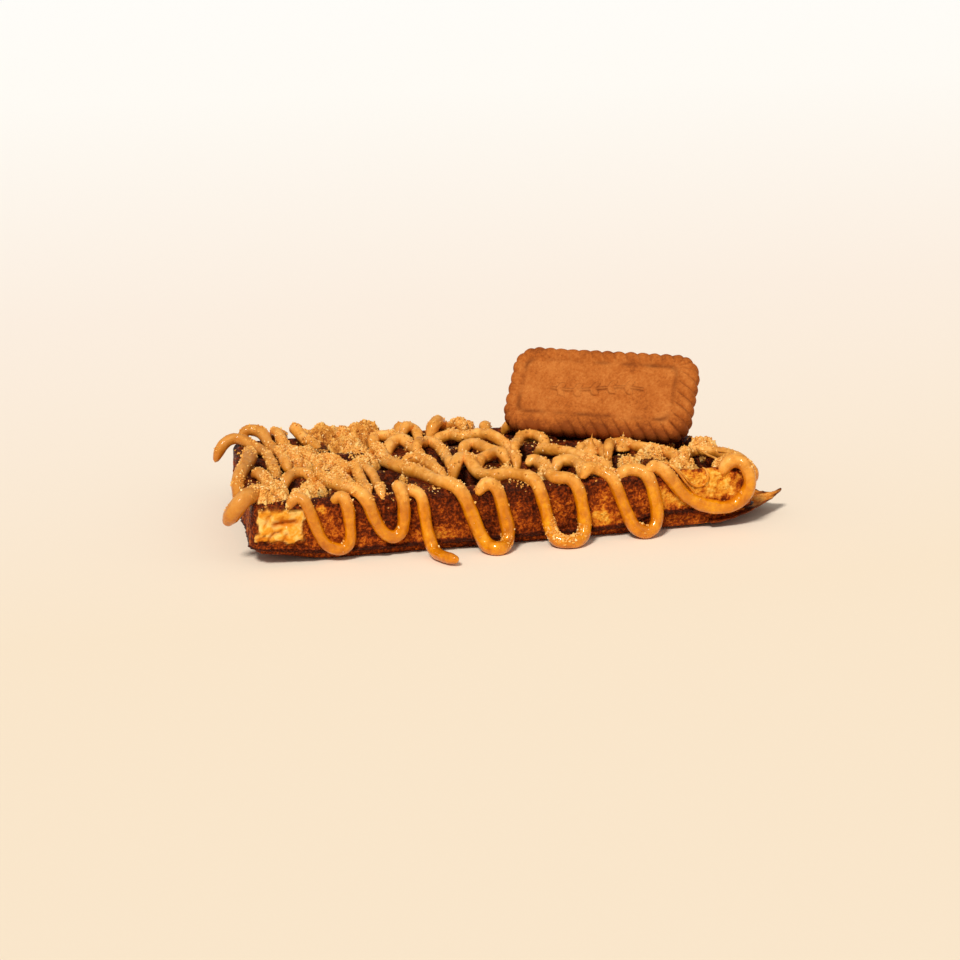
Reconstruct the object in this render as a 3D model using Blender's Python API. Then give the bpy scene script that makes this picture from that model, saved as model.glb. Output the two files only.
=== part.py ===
# Speculoos waffle: a rectangular grid waffle with thick spread drizzled over it in
# loops, and one speculoos biscuit leaning on top. Sizes in millimetres, made in metres.
import math
import random

import bmesh
import bpy
from mathutils import Matrix, Vector, noise

MM = 0.001

# Waffle body
HALF_LENGTH = 77.5
HALF_WIDTH = 38.0
HEIGHT = 18.5
POCKETS_LONG = 6
POCKETS_ACROSS = 3
PITCH_LONG = 25.0
PITCH_ACROSS = 24.0
POCKET_MOUTH = 19.0
POCKET_FLOOR = 15.4
POCKET_DEPTH = 10.0
UNDER_DEPTH = 2.4
RIB_ROUND = 0.8
PARTING = 2.9
PARTING_RISE = 3.2
PARTING_FALL = 1.8
FLASH_OUT = 0.9
LOWER_INSET = 1.6
WALL_UNEVEN = 0.45

# The slab narrows toward its right end and its right end leans in toward the back
BACK_TAPER = 10.0
TAPER_FROM = -45.0
TAPER_TO = 60.0
RIGHT_PULL = 2.0
RIGHT_SKEW = 9.0
PULL_FROM = 15.0
LEFT_SKEW = 1.9

# Its underside curls up toward both ends
CURL_LEFT = 3.2
CURL_LEFT_FROM = 52.0
CURL_LEFT_TO = 79.0
CURL_RIGHT = 0.9
CURL_RIGHT_FROM = 32.0
CURL_RIGHT_TO = 50.0
CURL_TIP = 2.7
CURL_TIP_FROM = 60.0
CURL_TIP_TO = 78.0
CURL_HEIGHT = 9.0

# Burnt flap of thin batter that curls up from the right front corner:
# where it leaves the wall, and its free edge
FLAP_ROOT = [(61, -34.5, 3.4), (67, -33.5, 4.0), (70.5, -31.5, 4.8), (70.5, -27, 5.2), (69, -18, 5.2),
             (67, -4, 5.2)]
FLAP_EDGE = [(61, -38.4, 2.2), (66, -38.6, 2.7), (71, -38.6, 4.0), (76.4, -35.6, 4.8), (80.8, -32.2, 5.3),
             (84.6, -29, 5.8), (88.8, -25, 6.9), (86.4, -21.5, 4.9), (83.4, -16.5, 4.7), (79, -10, 4.7),
             (72.5, -3.5, 4.6)]
FLAP_ROWS = 14
FLAP_THICK = 1.7
FLAP_RIM = 0.5
FLAP_DISH = 1.1

# Drizzled spread
STRAND = 2.05
STRAND_SIDES = 5
FINE_STEP = 1.5
RING_APART = 8.3
RING_TURN = math.radians(38.0)
TIP_LENGTH = 4.4
TIP_SIZE = 0.42
TIP_SINK = 2.0
BEDDED = 0.62
SAG = 1.9
EDGE_ROUND = 2.6
FLOOR_CLEAR = 2.05
HIGHEST_LIFT = 5.4

# Biscuit
BISCUIT_LENGTH = 62.4
BISCUIT_WIDTH = 31.0
BISCUIT_THICK = 6.4
BISCUIT_CORNER = 6.2
BISCUIT_SCALLOPS = 15
BISCUIT_SCALLOPS_SHORT = 7
SCALLOP_OUT = 0.4
BISCUIT_BORDER = 4.2
PANEL_SUNK = 0.8
BISCUIT_LEAN = math.radians(50.0)
BISCUIT_TURN = math.radians(-32.1)
BISCUIT_FOOT = (37.75, 8.0, 17.2)
TOUCH_GAP = 0.35
SHORTEST_EDGE = 0.3

for old in list(bpy.data.objects):
    bpy.data.objects.remove(old, do_unlink=True)


def material(name, colour, rough):
    made = bpy.data.materials.new(name)
    made.use_nodes = True
    shader = made.node_tree.nodes["Principled BSDF"]
    shader.inputs["Base Color"].default_value = (*colour, 1.0)
    shader.inputs["Roughness"].default_value = rough
    return made


def mesh_object(name, verts, faces, paint=None):
    mesh = bpy.data.meshes.new(name)
    mesh.from_pydata([tuple(c * MM for c in v) for v in verts], [], faces)
    mesh.validate()
    made = bpy.data.objects.new(name, mesh)
    bpy.context.scene.collection.objects.link(made)
    if paint:
        mesh.materials.append(paint)
    work = bmesh.new()
    work.from_mesh(mesh)
    bmesh.ops.recalc_face_normals(work, faces=work.faces)
    work.to_mesh(mesh)
    work.free()
    return made


def smooth_step(low, high, x):
    t = min(1.0, max(0.0, (x - low) / (high - low)))
    return t * t * (3.0 - 2.0 * t)


def back_edge(x):
    return HALF_WIDTH - BACK_TAPER * smooth_step(TAPER_FROM, TAPER_TO, x)


def right_edge(y):
    across = min(1.0, max(0.0, (y + HALF_WIDTH) / (2.0 * HALF_WIDTH)))
    return HALF_LENGTH - RIGHT_PULL - RIGHT_SKEW * across


def left_edge(y):
    across = min(1.0, max(0.0, (y + HALF_WIDTH) / (2.0 * HALF_WIDTH)))
    return HALF_LENGTH - LEFT_SKEW * across


def curl(x):
    """How far the underside stands up near the ends"""
    left = CURL_LEFT * smooth_step(CURL_LEFT_FROM, CURL_LEFT_TO, -x)
    right = CURL_RIGHT * smooth_step(CURL_RIGHT_FROM, CURL_RIGHT_TO, x)
    return left + right + CURL_TIP * smooth_step(CURL_TIP_FROM, CURL_TIP_TO, x)


def shaped(x, y, z):
    """Place on the tapered slab for a place on the plain rectangle"""
    pull = smooth_step(PULL_FROM, HALF_LENGTH, x) * (HALF_LENGTH - right_edge(y))
    pull -= smooth_step(PULL_FROM, HALF_LENGTH, -x) * (HALF_LENGTH - left_edge(y))
    depth = (back_edge(x) + HALF_WIDTH) / (2.0 * HALF_WIDTH)
    lift = curl(x) * max(0.0, 1.0 - z / CURL_HEIGHT)
    return x - pull, (y + HALF_WIDTH) * depth - HALF_WIDTH, z + lift


# Waffle core: a grid of lines at the pockets' edges, closed by walls

def pocket_lines(count, pitch, half):
    lines = [-half]
    for i in range(count):
        middle = (i - (count - 1) / 2) * pitch
        mouth, foot = POCKET_MOUTH / 2, POCKET_FLOOR / 2
        for edge in (-mouth - RIB_ROUND, -mouth, -foot, foot, mouth, mouth + RIB_ROUND):
            lines.append(middle + edge)
    return lines + [half]


def pocket_share(x, count, pitch):
    """0 on a rib, a little inside its rounded edge, 1 over a pocket's floor"""
    nearest = min(count - 1, max(0, round(x / pitch + (count - 1) / 2)))
    away = abs(x - (nearest - (count - 1) / 2) * pitch)
    mouth, foot = POCKET_MOUTH / 2, POCKET_FLOOR / 2
    if away >= mouth + RIB_ROUND:
        return 0.0
    if away >= mouth:
        return 0.09 * (mouth + RIB_ROUND - away) / RIB_ROUND
    return 0.09 + 0.91 * min(1.0, (mouth - away) / (mouth - foot))


def pocket_at(x, y):
    return min(pocket_share(x, POCKETS_LONG, PITCH_LONG),
               pocket_share(y, POCKETS_ACROSS, PITCH_ACROSS))


def parting(x):
    return PARTING + PARTING_RISE * smooth_step(30, 46, x) - PARTING_FALL * smooth_step(58, 70, x)


def wall_levels(x):
    """Heights of the wall's rings with how far each stands in from the full outline"""
    seam = parting(x)
    return [
        (0.0, LOWER_INSET + 1.5),
        (1.1, LOWER_INSET + 0.3),
        (seam - 0.5, LOWER_INSET - 0.3),
        (seam, -FLASH_OUT),
        (seam + 0.8, 0.1),
        (HEIGHT - 2.4, 0.5),
        (HEIGHT - 0.7, 1.1),
    ]


def outward(x, y):
    """Direction straight out of the outline near a place on it, blended at the corners"""
    dx = smooth_step(HALF_LENGTH - 7.0, HALF_LENGTH, abs(x)) * math.copysign(1.0, x)
    dy = smooth_step(HALF_WIDTH - 7.0, HALF_WIDTH, abs(y)) * math.copysign(1.0, y)
    length = math.hypot(dx, dy) or 1.0
    return dx / length, dy / length


def round_corner(x, y, radius=4.5):
    """Pulls a place on the outline in to a rounded corner"""
    ax, ay = abs(x) - (HALF_LENGTH - radius), abs(y) - (HALF_WIDTH - radius)
    if ax <= 0 or ay <= 0:
        return x, y
    reach = math.hypot(ax, ay)
    if reach <= radius:
        return x, y
    scale = radius / reach
    return (math.copysign(HALF_LENGTH - radius + ax * scale, x),
            math.copysign(HALF_WIDTH - radius + ay * scale, y))


def build_core(paint):
    xs = pocket_lines(POCKETS_LONG, PITCH_LONG, HALF_LENGTH)
    ys = pocket_lines(POCKETS_ACROSS, PITCH_ACROSS, HALF_WIDTH)
    verts, faces = [], []
    nx, ny = len(xs), len(ys)

    def add(x, y, z):
        verts.append((x, y, z))
        return len(verts) - 1

    def sheet(depth, level, up):
        rows = []
        for j, y in enumerate(ys):
            row = []
            for i, x in enumerate(xs):
                rim = i in (0, nx - 1) or j in (0, ny - 1)
                inset = 1.9 if up else LOWER_INSET + 1.5
                px, py = (round_corner(x, y) if rim else (x, y))
                if rim:
                    ox, oy = outward(px, py)
                    px, py = px - ox * inset, py - oy * inset
                z = level - depth * pocket_at(x, y) * (1 if up else -1)
                row.append(add(px, py, z))
            rows.append(row)
        for j in range(ny - 1):
            for i in range(nx - 1):
                a, b, c, d = rows[j][i], rows[j][i + 1], rows[j + 1][i + 1], rows[j + 1][i]
                low_ab = pocket_at(xs[i], ys[j]) + pocket_at(xs[i + 1], ys[j + 1])
                low_cd = pocket_at(xs[i + 1], ys[j]) + pocket_at(xs[i], ys[j + 1])
                if low_ab >= low_cd:
                    faces.extend([(a, b, c), (a, c, d)])
                else:
                    faces.extend([(a, b, d), (b, c, d)])
        return rows

    top = sheet(POCKET_DEPTH, HEIGHT, True)
    base = sheet(UNDER_DEPTH, 0.0, False)
    around = [(i, 0) for i in range(nx - 1)] + [(nx - 1, j) for j in range(ny - 1)]
    around += [(i, ny - 1) for i in range(nx - 1, 0, -1)] + [(0, j) for j in range(ny - 1, 0, -1)]
    rings = [[base[j][i] for i, j in around]]
    for level in range(1, 7):
        ring = []
        for i, j in around:
            x, y = round_corner(xs[i], ys[j])
            ox, oy = outward(x, y)
            height, inset = wall_levels(x)[level]
            if level == 3 and y < 0:
                inset -= 1.3 * smooth_step(50.0, 70.0, x)
            rough = noise.noise(Vector((x / 9.0, y / 9.0, height / 6.0 + 3.0)))
            if level == 3:
                inset -= 1.2 * max(0.0, noise.noise(Vector((x / 5.0, y / 5.0, 7.0))))
            move = WALL_UNEVEN * rough - inset
            ring.append(add(x + ox * move, y + oy * move, height))
        rings.append(ring)
    rings.append([top[j][i] for i, j in around])
    for lower, upper in zip(rings, rings[1:]):
        for k in range(len(around)):
            n = (k + 1) % len(around)
            faces.append((lower[k], lower[n], upper[n]))
            faces.append((lower[k], upper[n], upper[k]))
    core = mesh_object("waffle", [shaped(*v) for v in verts], faces, paint)
    work = bmesh.new()
    work.from_mesh(core.data)
    bmesh.ops.dissolve_limit(work, angle_limit=math.radians(0.3), verts=work.verts, edges=work.edges)
    bmesh.ops.triangulate(work, faces=work.faces)
    work.to_mesh(core.data)
    work.free()
    return core


# Strands: each runs over an unrolled sheet, along the waffle (u) and across it (w).
# Past an edge the same sheet runs down the wall, and at the foot of it out on the floor.

def fold(s, half):
    """Place across, drop below the top, and turn towards the wall from 0 to 1"""
    side = math.copysign(1.0, s)
    past = abs(s) - half
    if past <= -EDGE_ROUND:
        return s, 0.0, 0.0
    if past >= EDGE_ROUND:
        return side * half, past, 1.0
    k = (past + EDGE_ROUND) / (2.0 * EDGE_ROUND)
    return side * (half - EDGE_ROUND * (1.0 - k) ** 2), EDGE_ROUND * k * k, k


def on_waffle(u, w, lift):
    x, drop_x, turn_x = fold(u, (right_edge(w) if u > 0 else left_edge(w)) - 0.6)
    y, drop_y, turn_y = fold(w, (back_edge(u) if w > 0 else HALF_WIDTH) - 0.6)
    quarter = math.pi / 2.0
    flat = min(math.cos(turn_x * quarter), math.cos(turn_y * quarter))
    normal = Vector((math.copysign(math.sin(turn_x * quarter), u),
                     math.copysign(math.sin(turn_y * quarter), w), flat)).normalized()
    spot = Vector((x, y, HEIGHT - drop_x - drop_y)) + normal * lift
    if spot.z < FLOOR_CLEAR:
        out = FLOOR_CLEAR - spot.z
        if drop_y > drop_x:
            spot.y += math.copysign(out, w)
        else:
            spot.x += math.copysign(out, u)
        spot.z = FLOOR_CLEAR
    return spot


def smooth_path(knots, step):
    """Even places along a curve through the knots"""
    ends = [2 * knots[0] - knots[1]] + knots + [2 * knots[-1] - knots[-2]]
    fine = []
    for a, b, c, d in zip(ends, ends[1:], ends[2:], ends[3:]):
        for k in range(12):
            t = k / 12.0
            fine.append(0.5 * (2 * b + (c - a) * t + (2 * a - 5 * b + 4 * c - d) * t * t
                               + (3 * b - a - 3 * c + d) * t ** 3))
    fine.append(knots[-1])
    along = [0.0]
    for a, b in zip(fine, fine[1:]):
        along.append(along[-1] + (b - a).length)
    count = max(3, round(along[-1] / step))
    places, k = [], 0
    for i in range(count + 1):
        want = along[-1] * i / count
        while k < len(along) - 2 and along[k + 1] < want:
            k += 1
        part = (want - along[k]) / max(1e-6, along[k + 1] - along[k])
        places.append(fine[k].lerp(fine[k + 1], min(1.0, part)))
    return places


def pocket_dip(u, w):
    """How far a strand dips between ribs, 0 to 1"""
    if abs(u) > HALF_LENGTH - 4 or abs(w) > HALF_WIDTH - 4:
        return 0.0
    du = math.cos(math.pi * u / PITCH_LONG) if POCKETS_LONG % 2 else math.sin(math.pi * u / PITCH_LONG)
    dw = math.cos(math.pi * w / PITCH_ACROSS) if POCKETS_ACROSS % 2 else math.sin(math.pi * w / PITCH_ACROSS)
    return du * du * dw * dw


def settle(places, radius, lean, laid):
    """Lift of each place off the waffle: bedded in, dipping in pockets, over earlier strands"""
    lifts = []
    for spot in places:
        lift = BEDDED * radius - SAG * pocket_dip(spot.x, spot.y) + spot.z
        drop = max(-spot.y - HALF_WIDTH, spot.y - back_edge(spot.x), -spot.x - HALF_LENGTH,
                   spot.x - right_edge(spot.y), 0.0)
        lift += lean * min(1.0, drop / HEIGHT) ** 2
        for other, height in laid:
            away = (spot.xy - other.xy).length
            if away < 1.7 * radius:
                lift = max(lift, height + 1.35 * radius * math.sqrt(1.0 - (away / (1.7 * radius)) ** 2))
        lifts.append(min(lift, HIGHEST_LIFT + 0.25 * max(0.0, lift - HIGHEST_LIFT)) if not drop else lift)
    gaps = [(b.xy - a.xy).length for a, b in zip(places, places[1:])]
    for order in (range(1, len(lifts)), range(len(lifts) - 2, -1, -1)):
        for i in order:
            near = i - 1 if order.step == 1 else i + 1
            lifts[i] = max(lifts[i], lifts[near] - 0.55 * gaps[min(i, near)])
    return lifts


# The strands on the top and over its left end, in the order they were laid:
# thickness, lean away from the wall, places as along, across and extra lift
TOP_STRANDS = [
    (0.9, 0.8, [(12, 30), (17, 25), (28, 18.5), (40, 12.5), (52, 4), (61, -3)]),
    (0.85, 0.8, [(16, 28), (25, 24), (38, 18), (50, 9.5), (58, 4.5)]),
    (0.95, 0.8, [(-56, 35, 4.6), (-54.5, 31.5), (-53, 28.5), (-51, 23.5), (-48, 22.5)]),
    (0.95, 0.8, [(-13, 25.5), (-10.5, 28.5), (-6.5, 35, 0.5), (-4, 34.5), (-2, 30), (-0.5, 25.5)]),
    (0.9, 0.8, [(-21.5, 27.5), (-19.5, 30), (-17.5, 32), (-16, 31), (-16.5, 23.5)]),
    (0.95, 0.8, [(-13, 21.5), (-10, 23), (-6, 24), (-3, 17.5), (1.5, 19.5), (5, 18), (6.5, 11)]),
    (0.9, 0.8, [(-32, 20.5), (-30, 27), (-28, 27), (-25.5, 25.5), (-24, 21), (-22.5, 17.5)]),
    (0.95, 0.8, [(-29.5, 8), (-27, 14), (-24, 15.5), (-22, 13), (-21, 7), (-20, -1.5)]),
    (0.9, 0.8, [(-22, 0.6), (-16, 14.5), (-13.5, 12), (-12.5, 6.5), (-12, 1), (-13.5, -14)]),
    (0.9, 0.8, [(-2, 16), (2, 15), (5, 9), (8, 5.5), (8.5, -1), (6, -17.5)]),
    (0.9, 0.8, [(-7, 3), (-4.5, 7), (-2, 8.5), (0, 4), (1.5, -0.5), (3.5, -3.5), (3, -16)]),
    (0.9, 0.8, [(-6, -16), (-3, -10), (0, -10.5), (1.5, -15.5), (3, -19.5)]),
    (0.95, 0.8, [(-27.5, -6.5), (-24.5, -4), (-21.5, -5.5), (-20, -11.5), (-19, -18), (-18, -25.5)]),
    (0.85, 0.8, [(8, -6), (13.5, 10.5), (16.5, 14.5), (19, 14.5), (20.5, 10), (21, 3)]),
    (0.95, 0.8, [(16.5, 2), (19, -2.5), (21.5, -7.5), (24.5, -12), (26.5, -16.5), (28, -21),
                 (30.5, -24.5), (31.5, -31)]),
    (0.9, 0.8, [(16.5, -21.5), (19, -18.5), (21.5, -18.5), (23.5, -21.5), (23.5, -27), (22, -35.5)]),
    (0.8, 0.8, [(28, -6.5), (33, 1), (36, 4.5), (37, 0), (34.5, -14.5), (35, -20)]),
    (0.85, 0.8, [(34, -20), (41, -1), (44, 0), (45.5, -5), (47, -10.5), (50.5, -13.5), (53, -16.5),
                 (54.5, -20.5), (55.5, -26)]),
    (0.9, 0.8, [(55, -30), (60.5, -18.5), (64, -17), (68, -19.5), (70.5, -24.5), (72, -32), (72, -36.5),
                (74, -39), (74.5, -42)]),
    (0.85, 0.8, [(-65.5, -18), (-63, -13.5), (-60.5, -10.5), (-57.5, -11), (-56, -15.5)]),
    (0.85, 0.8, [(-62.6, 36, 1), (-60.8, 32, 0.4), (-59.4, 24), (-58.2, 14), (-57.4, 4)]),
    (0.95, 0.8, [(-53.5, -5.5), (-51.5, 0.5), (-49, 2), (-47, -1), (-45.5, -8), (-44, -12.5)]),
    (0.78, 0.8, [(-46, -13), (-43.5, -13), (-42.5, -18.5), (-42, -26), (-43, -36.5)]),
    (0.75, 0.8, [(-40, -0.5), (-39, -10), (-38, -17), (-38, -25.5), (-39, -37.5)]),
    (0.9, 0.8, [(-72.9, 35.6, 1.2), (-71.2, 35.8, 2.2), (-68.8, 36, 2.7), (-66.6, 35.6, 2.2),
                (-65, 32.5, 1.4), (-64.3, 28, 0.9), (-62.9, 19, 0.4), (-61.9, 10), (-61.2, 2)]),
    (1.1, 0.0, [(-71.3, 20), (-71.6, 15), (-72.5, 8.5), (-74, 1, 0.3), (-75.4, -4.5, 0.4),
                (-76.9, -8, 0.5), (-78.6, -11, 0.3), (-81, -14, 0.3), (-84, -17, 0.3)]),
    (0.85, 0.0, [(-79.8, 29.8, 5.2), (-78.4, 30, 4.5), (-76.9, 30.2, 3.4),
                 (-75.4, 30.8, 2.3), (-73.8, 31.3, 1.2), (-71.3, 29, 0.7), (-69.1, 25.6, 0.7),
                 (-67.1, 21.2, 0.3), (-66.2, 13, -0.2), (-65.9, 2), (-65.9, -8)]),
    (0.9, 0.0, [(-73.2, -6.9, 0.8), (-71.6, -9.7, 0.6), (-70.2, -14.2), (-69.7, -20), (-69.8, -24)]),
    (1.15, 0.0, [(-71.5, -28, 0.3), (-73, -30), (-75.2, -33, 0.3), (-76.9, -35.8, 1.3),
                 (-78.9, -35.5, 2.2), (-81.4, -34.5, 4.3), (-83.2, -34, 5.8)]),
]

# The strands that hang over the front, each down and up again
FRONT_STRANDS = [
    (0.95, 7.0, [(-34.5, -36.5), (-31, -36.5), (-28, -38), (-27, -42), (-26.5, -48), (-25.5, -53),
                 (-23.5, -57.5), (-20, -62)]),
    (1.0, 0.6, [(-67, -37.5), (-64.5, -36), (-62, -36.5), (-60, -41), (-58.5, -45.5), (-56.5, -50),
                 (-53.5, -52), (-50.5, -52.3), (-48.7, -49.5), (-48.8, -45), (-49.3, -39.5), (-51, -36.5),
                 (-54, -35.5)]),
    (1.0, 0.6, [(-57, -19), (-54.5, -18), (-51, -26), (-48.5, -31), (-46, -36.5), (-43.5, -39),
                 (-41.5, -44), (-39, -48.5), (-36.5, -50), (-34.3, -49.3), (-33, -46), (-33, -40.5),
                 (-34.2, -36.5), (-35, -35)]),
    (1.0, 6.0, [(-34.5, 10.5), (-32, 6), (-31, -7.5), (-27, -17), (-24, -23), (-20.5, -32.5),
                (-17, -36.5), (-14.5, -40.5), (-12.5, -46), (-11, -50.5), (-8.5, -54.8), (-6, -55.8),
                (-3.3, -53.4), (-2.5, -50), (-3.3, -45), (-4.5, -39.5), (-6.5, -36.5), (-9.5, -38)]),
    (1.0, 7.0, [(-15, -21), (-12, -16), (-9, -12), (-7.5, -22), (-4, -30), (1, -29.5), (5, -34),
                 (7.5, -38.5), (9.2, -45), (10.3, -51.5), (12.5, -54.3), (15.5, -55), (18.5, -54.3),
                 (20.5, -51.5), (20.5, -45), (19.3, -39.5), (16.5, -36.5), (12.5, -35.5), (13.5, -24),
                 (12.5, -15.5), (9, -17)]),
    (1.0, 5.0, [(20.5, -36.5), (26, -35), (29.5, -37), (31.5, -41), (33.5, -46.5), (35.5, -51.5),
                 (38, -53.7), (40.5, -54), (42.7, -52), (43.5, -48), (42.5, -41.5), (40.5, -37),
                 (37.5, -35), (34, -36.5)]),
    (1.05, 0.8, [(40, -36.5), (45, -36.5), (48.5, -39.5), (52.5, -44.5), (57.5, -47.5), (64, -49.2),
                (68.5, -48.5), (71.7, -45.3), (72.3, -40), (70, -36.8), (66.5, -36), (64, -37)]),
]

# Loops over the back edge, by rule
BACK_LOOPS = 7
BACK_SPACING = 20.0
BACK_SHIFT = -3.0


def back_strands():
    """Knots of the loops that hang over the back edge, each with a short lead and hook on the top"""
    rows = []
    draw = random.Random(11)
    for number in range(BACK_LOOPS):
        middle = BACK_SPACING * (number - (BACK_LOOPS - 1) / 2) + BACK_SHIFT + draw.uniform(-2.0, 2.0)
        deep = draw.uniform(9.0, 15.5)
        half = draw.uniform(4.0, 5.0)
        edge = back_edge(middle)
        foot = edge + deep
        rows.append((1.0, 0.8, [
            (middle - 8, edge - 5), (middle - 8.4, edge - 1.5), (middle - 7.2, edge + 3),
            (middle - half, foot - half), (middle - 0.62 * half, foot - 0.3 * half),
            (middle + 0.1 * half, foot), (middle + 0.75 * half, foot - 0.35 * half),
            (middle + half, foot - half),
            (middle + 4.6, edge + 2), (middle + 3.8, edge - 2.5), (middle + 2.4, edge - 6),
        ]))
    return rows


def tube(spots, radii):
    """Closed round strand along the spots, with a radius at each"""
    verts, faces = [], []
    up = Vector((0.0, 0.0, 1.0))
    rings = []
    directions = []
    for i in range(len(spots)):
        a, b = spots[max(0, i - 1)], spots[min(len(spots) - 1, i + 1)]
        directions.append((b - a).normalized())
    side = directions[0].cross(up)
    if side.length < 0.2:
        side = directions[0].cross(Vector((1.0, 0.0, 0.0)))
    side.normalize()
    for spot, along, radius in zip(spots, directions, radii):
        side = (side - along * side.dot(along)).normalized()
        other = along.cross(side)
        ring = []
        for k in range(STRAND_SIDES):
            angle = math.tau * (k + 0.5) / STRAND_SIDES
            ring.append(len(verts))
            verts.append(spot + side * math.cos(angle) * radius + other * math.sin(angle) * radius)
        rings.append(ring)
    for lower, upper in zip(rings, rings[1:]):
        for k in range(STRAND_SIDES):
            n = (k + 1) % STRAND_SIDES
            faces.append((lower[k], lower[n], upper[n]))
            faces.append((lower[k], upper[n], upper[k]))
    for ring, spot, along, sign in ((rings[0], spots[0], directions[0], -1.0),
                                    (rings[-1], spots[-1], directions[-1], 1.0)):
        tip = len(verts)
        verts.append(spot + along * sign * radii[0 if sign < 0 else -1] * 0.7)
        for k in range(STRAND_SIDES):
            faces.append((ring[k], ring[(k + 1) % STRAND_SIDES], tip))
    return verts, faces


def thin_out(spots):
    """Numbers of the places where the strand has turned or run far enough since the last"""
    kept, run, turned = [0], 0.0, 0.0
    for i in range(1, len(spots) - 1):
        a, b, c = spots[i - 1:i + 2]
        run += (b - a).length
        turned += (b - a).angle(c - b, 0.0)
        if run > RING_APART or (turned > RING_TURN and run > 1.4):
            kept.append(i)
            run, turned = 0.0, 0.0
    return kept + [len(spots) - 1]


def lay_strand(size, lean, knots, laid, drizzle, name):
    """Lays one strand over those laid before it, as closed pieces that don't cross themselves"""
    places = smooth_path([Vector((*k, 0.0)[:3]) for k in knots], FINE_STEP)
    lifts = settle(places, STRAND, lean, laid)
    laid.extend(zip(places, lifts))
    lower = (1.0 - size) * STRAND * 0.9
    fine = [on_waffle(p.x, p.y, lift - lower) for p, lift in zip(places, lifts)]
    kept = thin_out(fine)
    spots = [fine[i] for i in kept]
    along = [0.0]
    for a, b in zip(spots, spots[1:]):
        along.append(along[-1] + (b - a).length)
    radii = []
    for spot, run in zip(spots, along):
        to_end = min(run, along[-1] - run)
        on_top = smooth_step(HEIGHT - 1.5, HEIGHT + 0.5, spot.z)
        narrow = 1.0 - smooth_step(-0.8 * TIP_LENGTH, TIP_LENGTH, to_end)
        radii.append(size * STRAND * (1.0 - (1.0 - TIP_SIZE) * narrow))
        spot.z -= TIP_SINK * on_top * (1.0 - smooth_step(0.0, TIP_LENGTH, to_end))
    cuts = [0]
    for i in range(len(spots)):
        for j in range(cuts[-1], i):
            if along[i] - along[j] > 4.0 * STRAND and (spots[i] - spots[j]).length < 2.1 * STRAND:
                cuts.append(i - 1)
                break
    cuts.append(len(spots) - 1)
    for part, (first, last) in enumerate(zip(cuts, cuts[1:])):
        if last <= first:
            continue
        sizes = radii[first:last + 1]
        sizes[0] *= 1.0 if first == 0 else 0.9
        sizes[-1] *= 1.0 if last == len(spots) - 1 else 0.93
        verts, faces = tube(spots[first:last + 1], sizes)
        piece = mesh_object(f"{name}_{part}", verts, faces)
        bpy.context.scene.collection.objects.unlink(piece)
        drizzle.objects.link(piece)


def lay_drizzle(drizzle):
    laid = []
    for number, (size, lean, knots) in enumerate(back_strands() + TOP_STRANDS + FRONT_STRANDS):
        lay_strand(size, lean, knots, laid, drizzle, f"strand_{number}")


def line_through(points, share):
    """Place on a curve through the points, from 0 at the first to 1 at the last"""
    last = len(points) - 1
    k = min(last - 1, int(share * last))
    t = share * last - k
    a, b, c, d = [Vector(points[min(last, max(0, k + step))]) for step in (-1, 0, 1, 2)]
    return 0.5 * (2 * b + (c - a) * t + (2 * a - 5 * b + 4 * c - d) * t * t
                  + (3 * b - a - 3 * c + d) * t ** 3)


def batter_flap():
    """Thin burnt tongue of batter that ran out of the iron, dished and curled up to its tip"""
    layers = []
    for j in range(FLAP_ROWS + 1):
        share = j / FLAP_ROWS
        root, edge = line_through(FLAP_ROOT, share), line_through(FLAP_EDGE, share)
        middle = root.lerp(edge, 0.5)
        middle.z -= FLAP_DISH * smooth_step(0.25, 0.5, share)
        thick = (FLAP_THICK, 0.5 * (FLAP_THICK + FLAP_RIM), FLAP_RIM)
        lower = [spot - Vector((0, 0, down)) for spot, down in zip((root, middle, edge), thick)]
        layers.append([root, middle, edge] + lower[::-1])
    return ringed_solid("flap", layers)


# Biscuit: outline with rope-like scallops, a raised border and a plain sunk panel

def biscuit_outline(inset, waves, count):
    """Places round the biscuit, each waved in and out by the scallops"""
    half_x, half_y = BISCUIT_LENGTH / 2 - SCALLOP_OUT, BISCUIT_WIDTH / 2 - SCALLOP_OUT
    radius = max(0.8, BISCUIT_CORNER - inset)
    hx, hy = half_x - inset - radius, half_y - inset - radius
    quarter = math.pi / 2 * radius
    total = 4 * (hx + hy + quarter)
    lobes = 2 * (BISCUIT_SCALLOPS + BISCUIT_SCALLOPS_SHORT)
    places = []
    for k in range(count):
        s = total * k / count
        turn = 0
        corner = [(hx, -hy), (hx, hy), (-hx, hy), (-hx, -hy)]
        runs = [2 * hy, 2 * hx, 2 * hy, 2 * hx]
        while s >= runs[turn] + quarter:
            s -= runs[turn] + quarter
            turn += 1
        ahead = math.pi / 2 * (turn + 1)
        out = ahead - math.pi / 2
        cx, cy = corner[turn]
        if s <= runs[turn]:
            x, y = cx + math.cos(ahead) * s, cy + math.sin(ahead) * s
        else:
            x, y = cx + math.cos(ahead) * runs[turn], cy + math.sin(ahead) * runs[turn]
            out += (s - runs[turn]) / radius
        wave = waves * math.cos(math.tau * lobes * k / count)
        x += math.cos(out) * (radius + wave)
        y += math.sin(out) * (radius + wave)
        places.append((x, y))
    return places


def biscuit_place():
    lean = Matrix.Rotation(BISCUIT_LEAN, 4, "X")
    turn = Matrix.Rotation(BISCUIT_TURN, 4, "Z")
    return Matrix.Translation(Vector(BISCUIT_FOOT)) @ turn @ lean


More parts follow.
